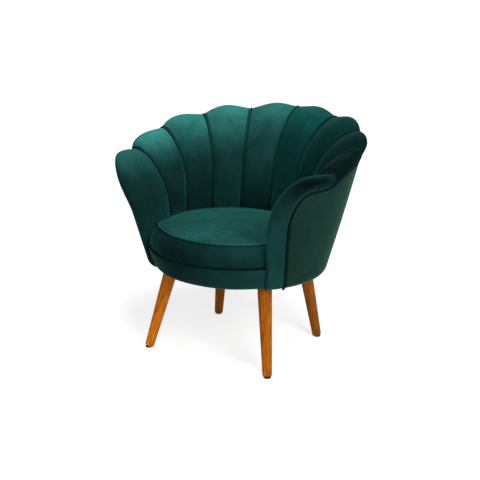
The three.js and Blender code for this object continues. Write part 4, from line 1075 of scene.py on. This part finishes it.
# A cloth stretched flat over the plan, sagging a little in the middle, with round holes cut in it
def stretched_cloth(name, height, inset, flare, sag, material, node, holes=()):
    angle = np.linspace(-180, 180, 96, endpoint=False)
    rim = shell(angle, height, inset(abs(angle)), flare)
    loops = [rim[:, :2]]
    turn = np.linspace(0, 2 * math.pi, 28, endpoint=False)
    for x, y, radius in holes:
        loops.append(np.stack([x + radius * np.cos(turn), y + radius * np.sin(turn)], -1))
    middle = np.array([0.0, SHIFT_Y / 1000])
    side, ends = rim[:, 0].max(), rim[:, 1] - middle[1]

    def share_out(points):
        away = points - middle
        reach = np.where(away[:, 1] > 0, ends.max(), -ends.min())
        return np.hypot(away[:, 0] / side, away[:, 1] / reach)

    step = np.arange(-GRID_REACH, GRID_REACH, GRID_STEP)
    grid = np.stack(np.meshgrid(step, step + middle[1]), -1).reshape(-1, 2)
    grid = grid[share_out(grid) < 0.95]
    for x, y, radius in holes:
        grid = grid[np.hypot(grid[:, 0] - x, grid[:, 1] - y) > radius + HOLE_MARGIN]
    edges, first = [], 0
    for loop_points in loops:
        count = len(loop_points)
        edges += [(first + i, first + (i + 1) % count) for i in range(count)]
        first += count
    points = np.concatenate(loops + [grid])
    flat, _, faces, *_ = delaunay_2d_cdt([Vector(v) for v in points], edges, [], 0, 1e-6)
    flat = np.array([tuple(v) for v in flat])
    centres = np.array([flat[list(face)].mean(0) for face in faces])
    kept = share_out(centres) < 1.0
    for x, y, radius in holes:
        kept &= np.hypot(centres[:, 0] - x, centres[:, 1] - y) > radius
    faces = [tuple(face) for face, keep in zip(faces, kept) if keep]
    used = sorted({index for face in faces for index in face})
    place = {index: number for number, index in enumerate(used)}
    flat, faces = flat[used], [tuple(place[index] for index in face) for face in faces]
    drop = sag * np.maximum(1 - share_out(flat) ** 2, 0) / 1000
    obj = new_object(name, np.column_stack([flat, height / 1000 - drop]), faces, material)
    finish_piece(obj, [node])


def build_cloths():
    # Under the sides and back the dust cover reaches the covers' edges, and in front the border's
    def inside_flanges(across):
        in_front = smooth((across - 106) / 14)
        return mix(FLANGE + 0.7, FLANGE + BORDER_INSET + BORDER_RECESS + 0.3, in_front)

    def inside_channels(across):
        return PAD_INSET - 0.7 + 0 * across

    holes = [(*leg_point(leg, DUST_HEIGHT)[:2], LEG_HOLE) for leg in LEGS]
    stretched_cloth(
        "dust_cover_cloth", DUST_HEIGHT, inside_flanges, DUST_HEIGHT, DUST_SAG, lining_cloth,
        "dust_cover", holes,
    )
    stretched_cloth(
        "seat_deck_cloth", DECK_HEIGHT, inside_channels, DECK_FLARE, DECK_SAG, deck_cloth,
        "seat_deck",
    )


# Legs and glides, turned round their own leaning axes. Each leg has the place of its foot in millimetres
# and how far it leans in x and y for each millimetre up.
LEG_SIDES = 56
LEG_BOTTOM, LEG_TOP, GLIDE_HEIGHT = 4.95, 294.6, 4.7
FOOT_RADIUS, LEG_RADIUS = 0.0156, 0.0247
LEG_FOOT = [(0.0, 0.0139), (0.002, 0.0148), (0.006, 0.0154), (0.014, 0.0156)]  # shares up it and radii
LEG_SHOULDER = [(0.993, 0.0246), (0.998, 0.0242), (1.0, 0.0236)]
GLIDE = [(0.0, 0.0113), (0.1, 0.0121), (0.3, 0.0125), (0.8, 0.0125), (0.95, 0.0122), (1.0, 0.0117)]
LEG_PAIRS = [("front", 241.0, -198.0, 0.193, 0.25), ("back", 212.5, 204.0, 0.15, -0.114)]
LEGS = [
    (f"{end}_{word}", side * x, y, -side * lean_x, lean_y)
    for end, x, y, lean_x, lean_y in LEG_PAIRS
    for word, side in SIDES
]


def leg_point(leg, height):
    _, x, y, lean_x, lean_y = leg
    return Vector((x + lean_x * height, y + lean_y * height + SHIFT_Y, height)) / 1000


def leaning(low, high, profile, name, material):
    axis = (high - low).normalized()
    turn = np.linspace(0, 2 * math.pi, LEG_SIDES, endpoint=False)
    rings = []
    for share, radius in profile:
        z = np.full(LEG_SIDES, share * (high - low).length)
        rings.append(np.stack([radius * np.cos(turn), radius * np.sin(turn), z], -1))
    obj = loft(name, rings, material, sharp=50)
    place = Matrix.Translation(low) @ Vector((0, 0, 1)).rotation_difference(axis).to_matrix().to_4x4()
    obj.matrix_world = place
    for vertex in obj.data.vertices:  # cut level where it stands on the floor
        vertex.co.z += max(-(place @ vertex.co).z, 0) / axis.z
    return obj


def build_legs():
    taper = [(t, mix(FOOT_RADIUS, LEG_RADIUS, t)) for t in np.linspace(0.03, 0.985, 20)]
    for row in LEGS:
        word = row[0]
        ends = leg_point(row, LEG_BOTTOM), leg_point(row, LEG_TOP)
        leg = leaning(*ends, LEG_FOOT + taper + LEG_SHOULDER, f"{word}_leg_turned", lit_leg_woods[word])
        finish_piece(leg, [f"{word}_leg"])
        foot = leg_point(row, 0)
        glide = leaning(foot, foot + Vector((0, 0, GLIDE_HEIGHT / 1000)), GLIDE, f"{word}_glide_pad", plastic)
        finish_piece(glide, [f"{word}_glide"])


# CAD nodes that stay, with their own finishes
def dress_frame():
    finishes = {
        "base_board": ply_wood,
        "shell_board": ply_wood,
        "seat_rail": pine_wood,
        "leg_block": pine_wood,
        "tee_nut": steel,
        "hanger_bolt": steel,
        "seat_strap": strap_cloth,
    }
    for name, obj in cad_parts.items():
        for word, material in finishes.items():
            if word in name:
                obj.data.materials.clear()
                obj.data.materials.append(material)


build_camera()
build_studio()
dress_frame()
build_channels()
build_arms()
build_cover()
build_welt()
build_border()
build_cushion()
build_cloths()
build_legs()
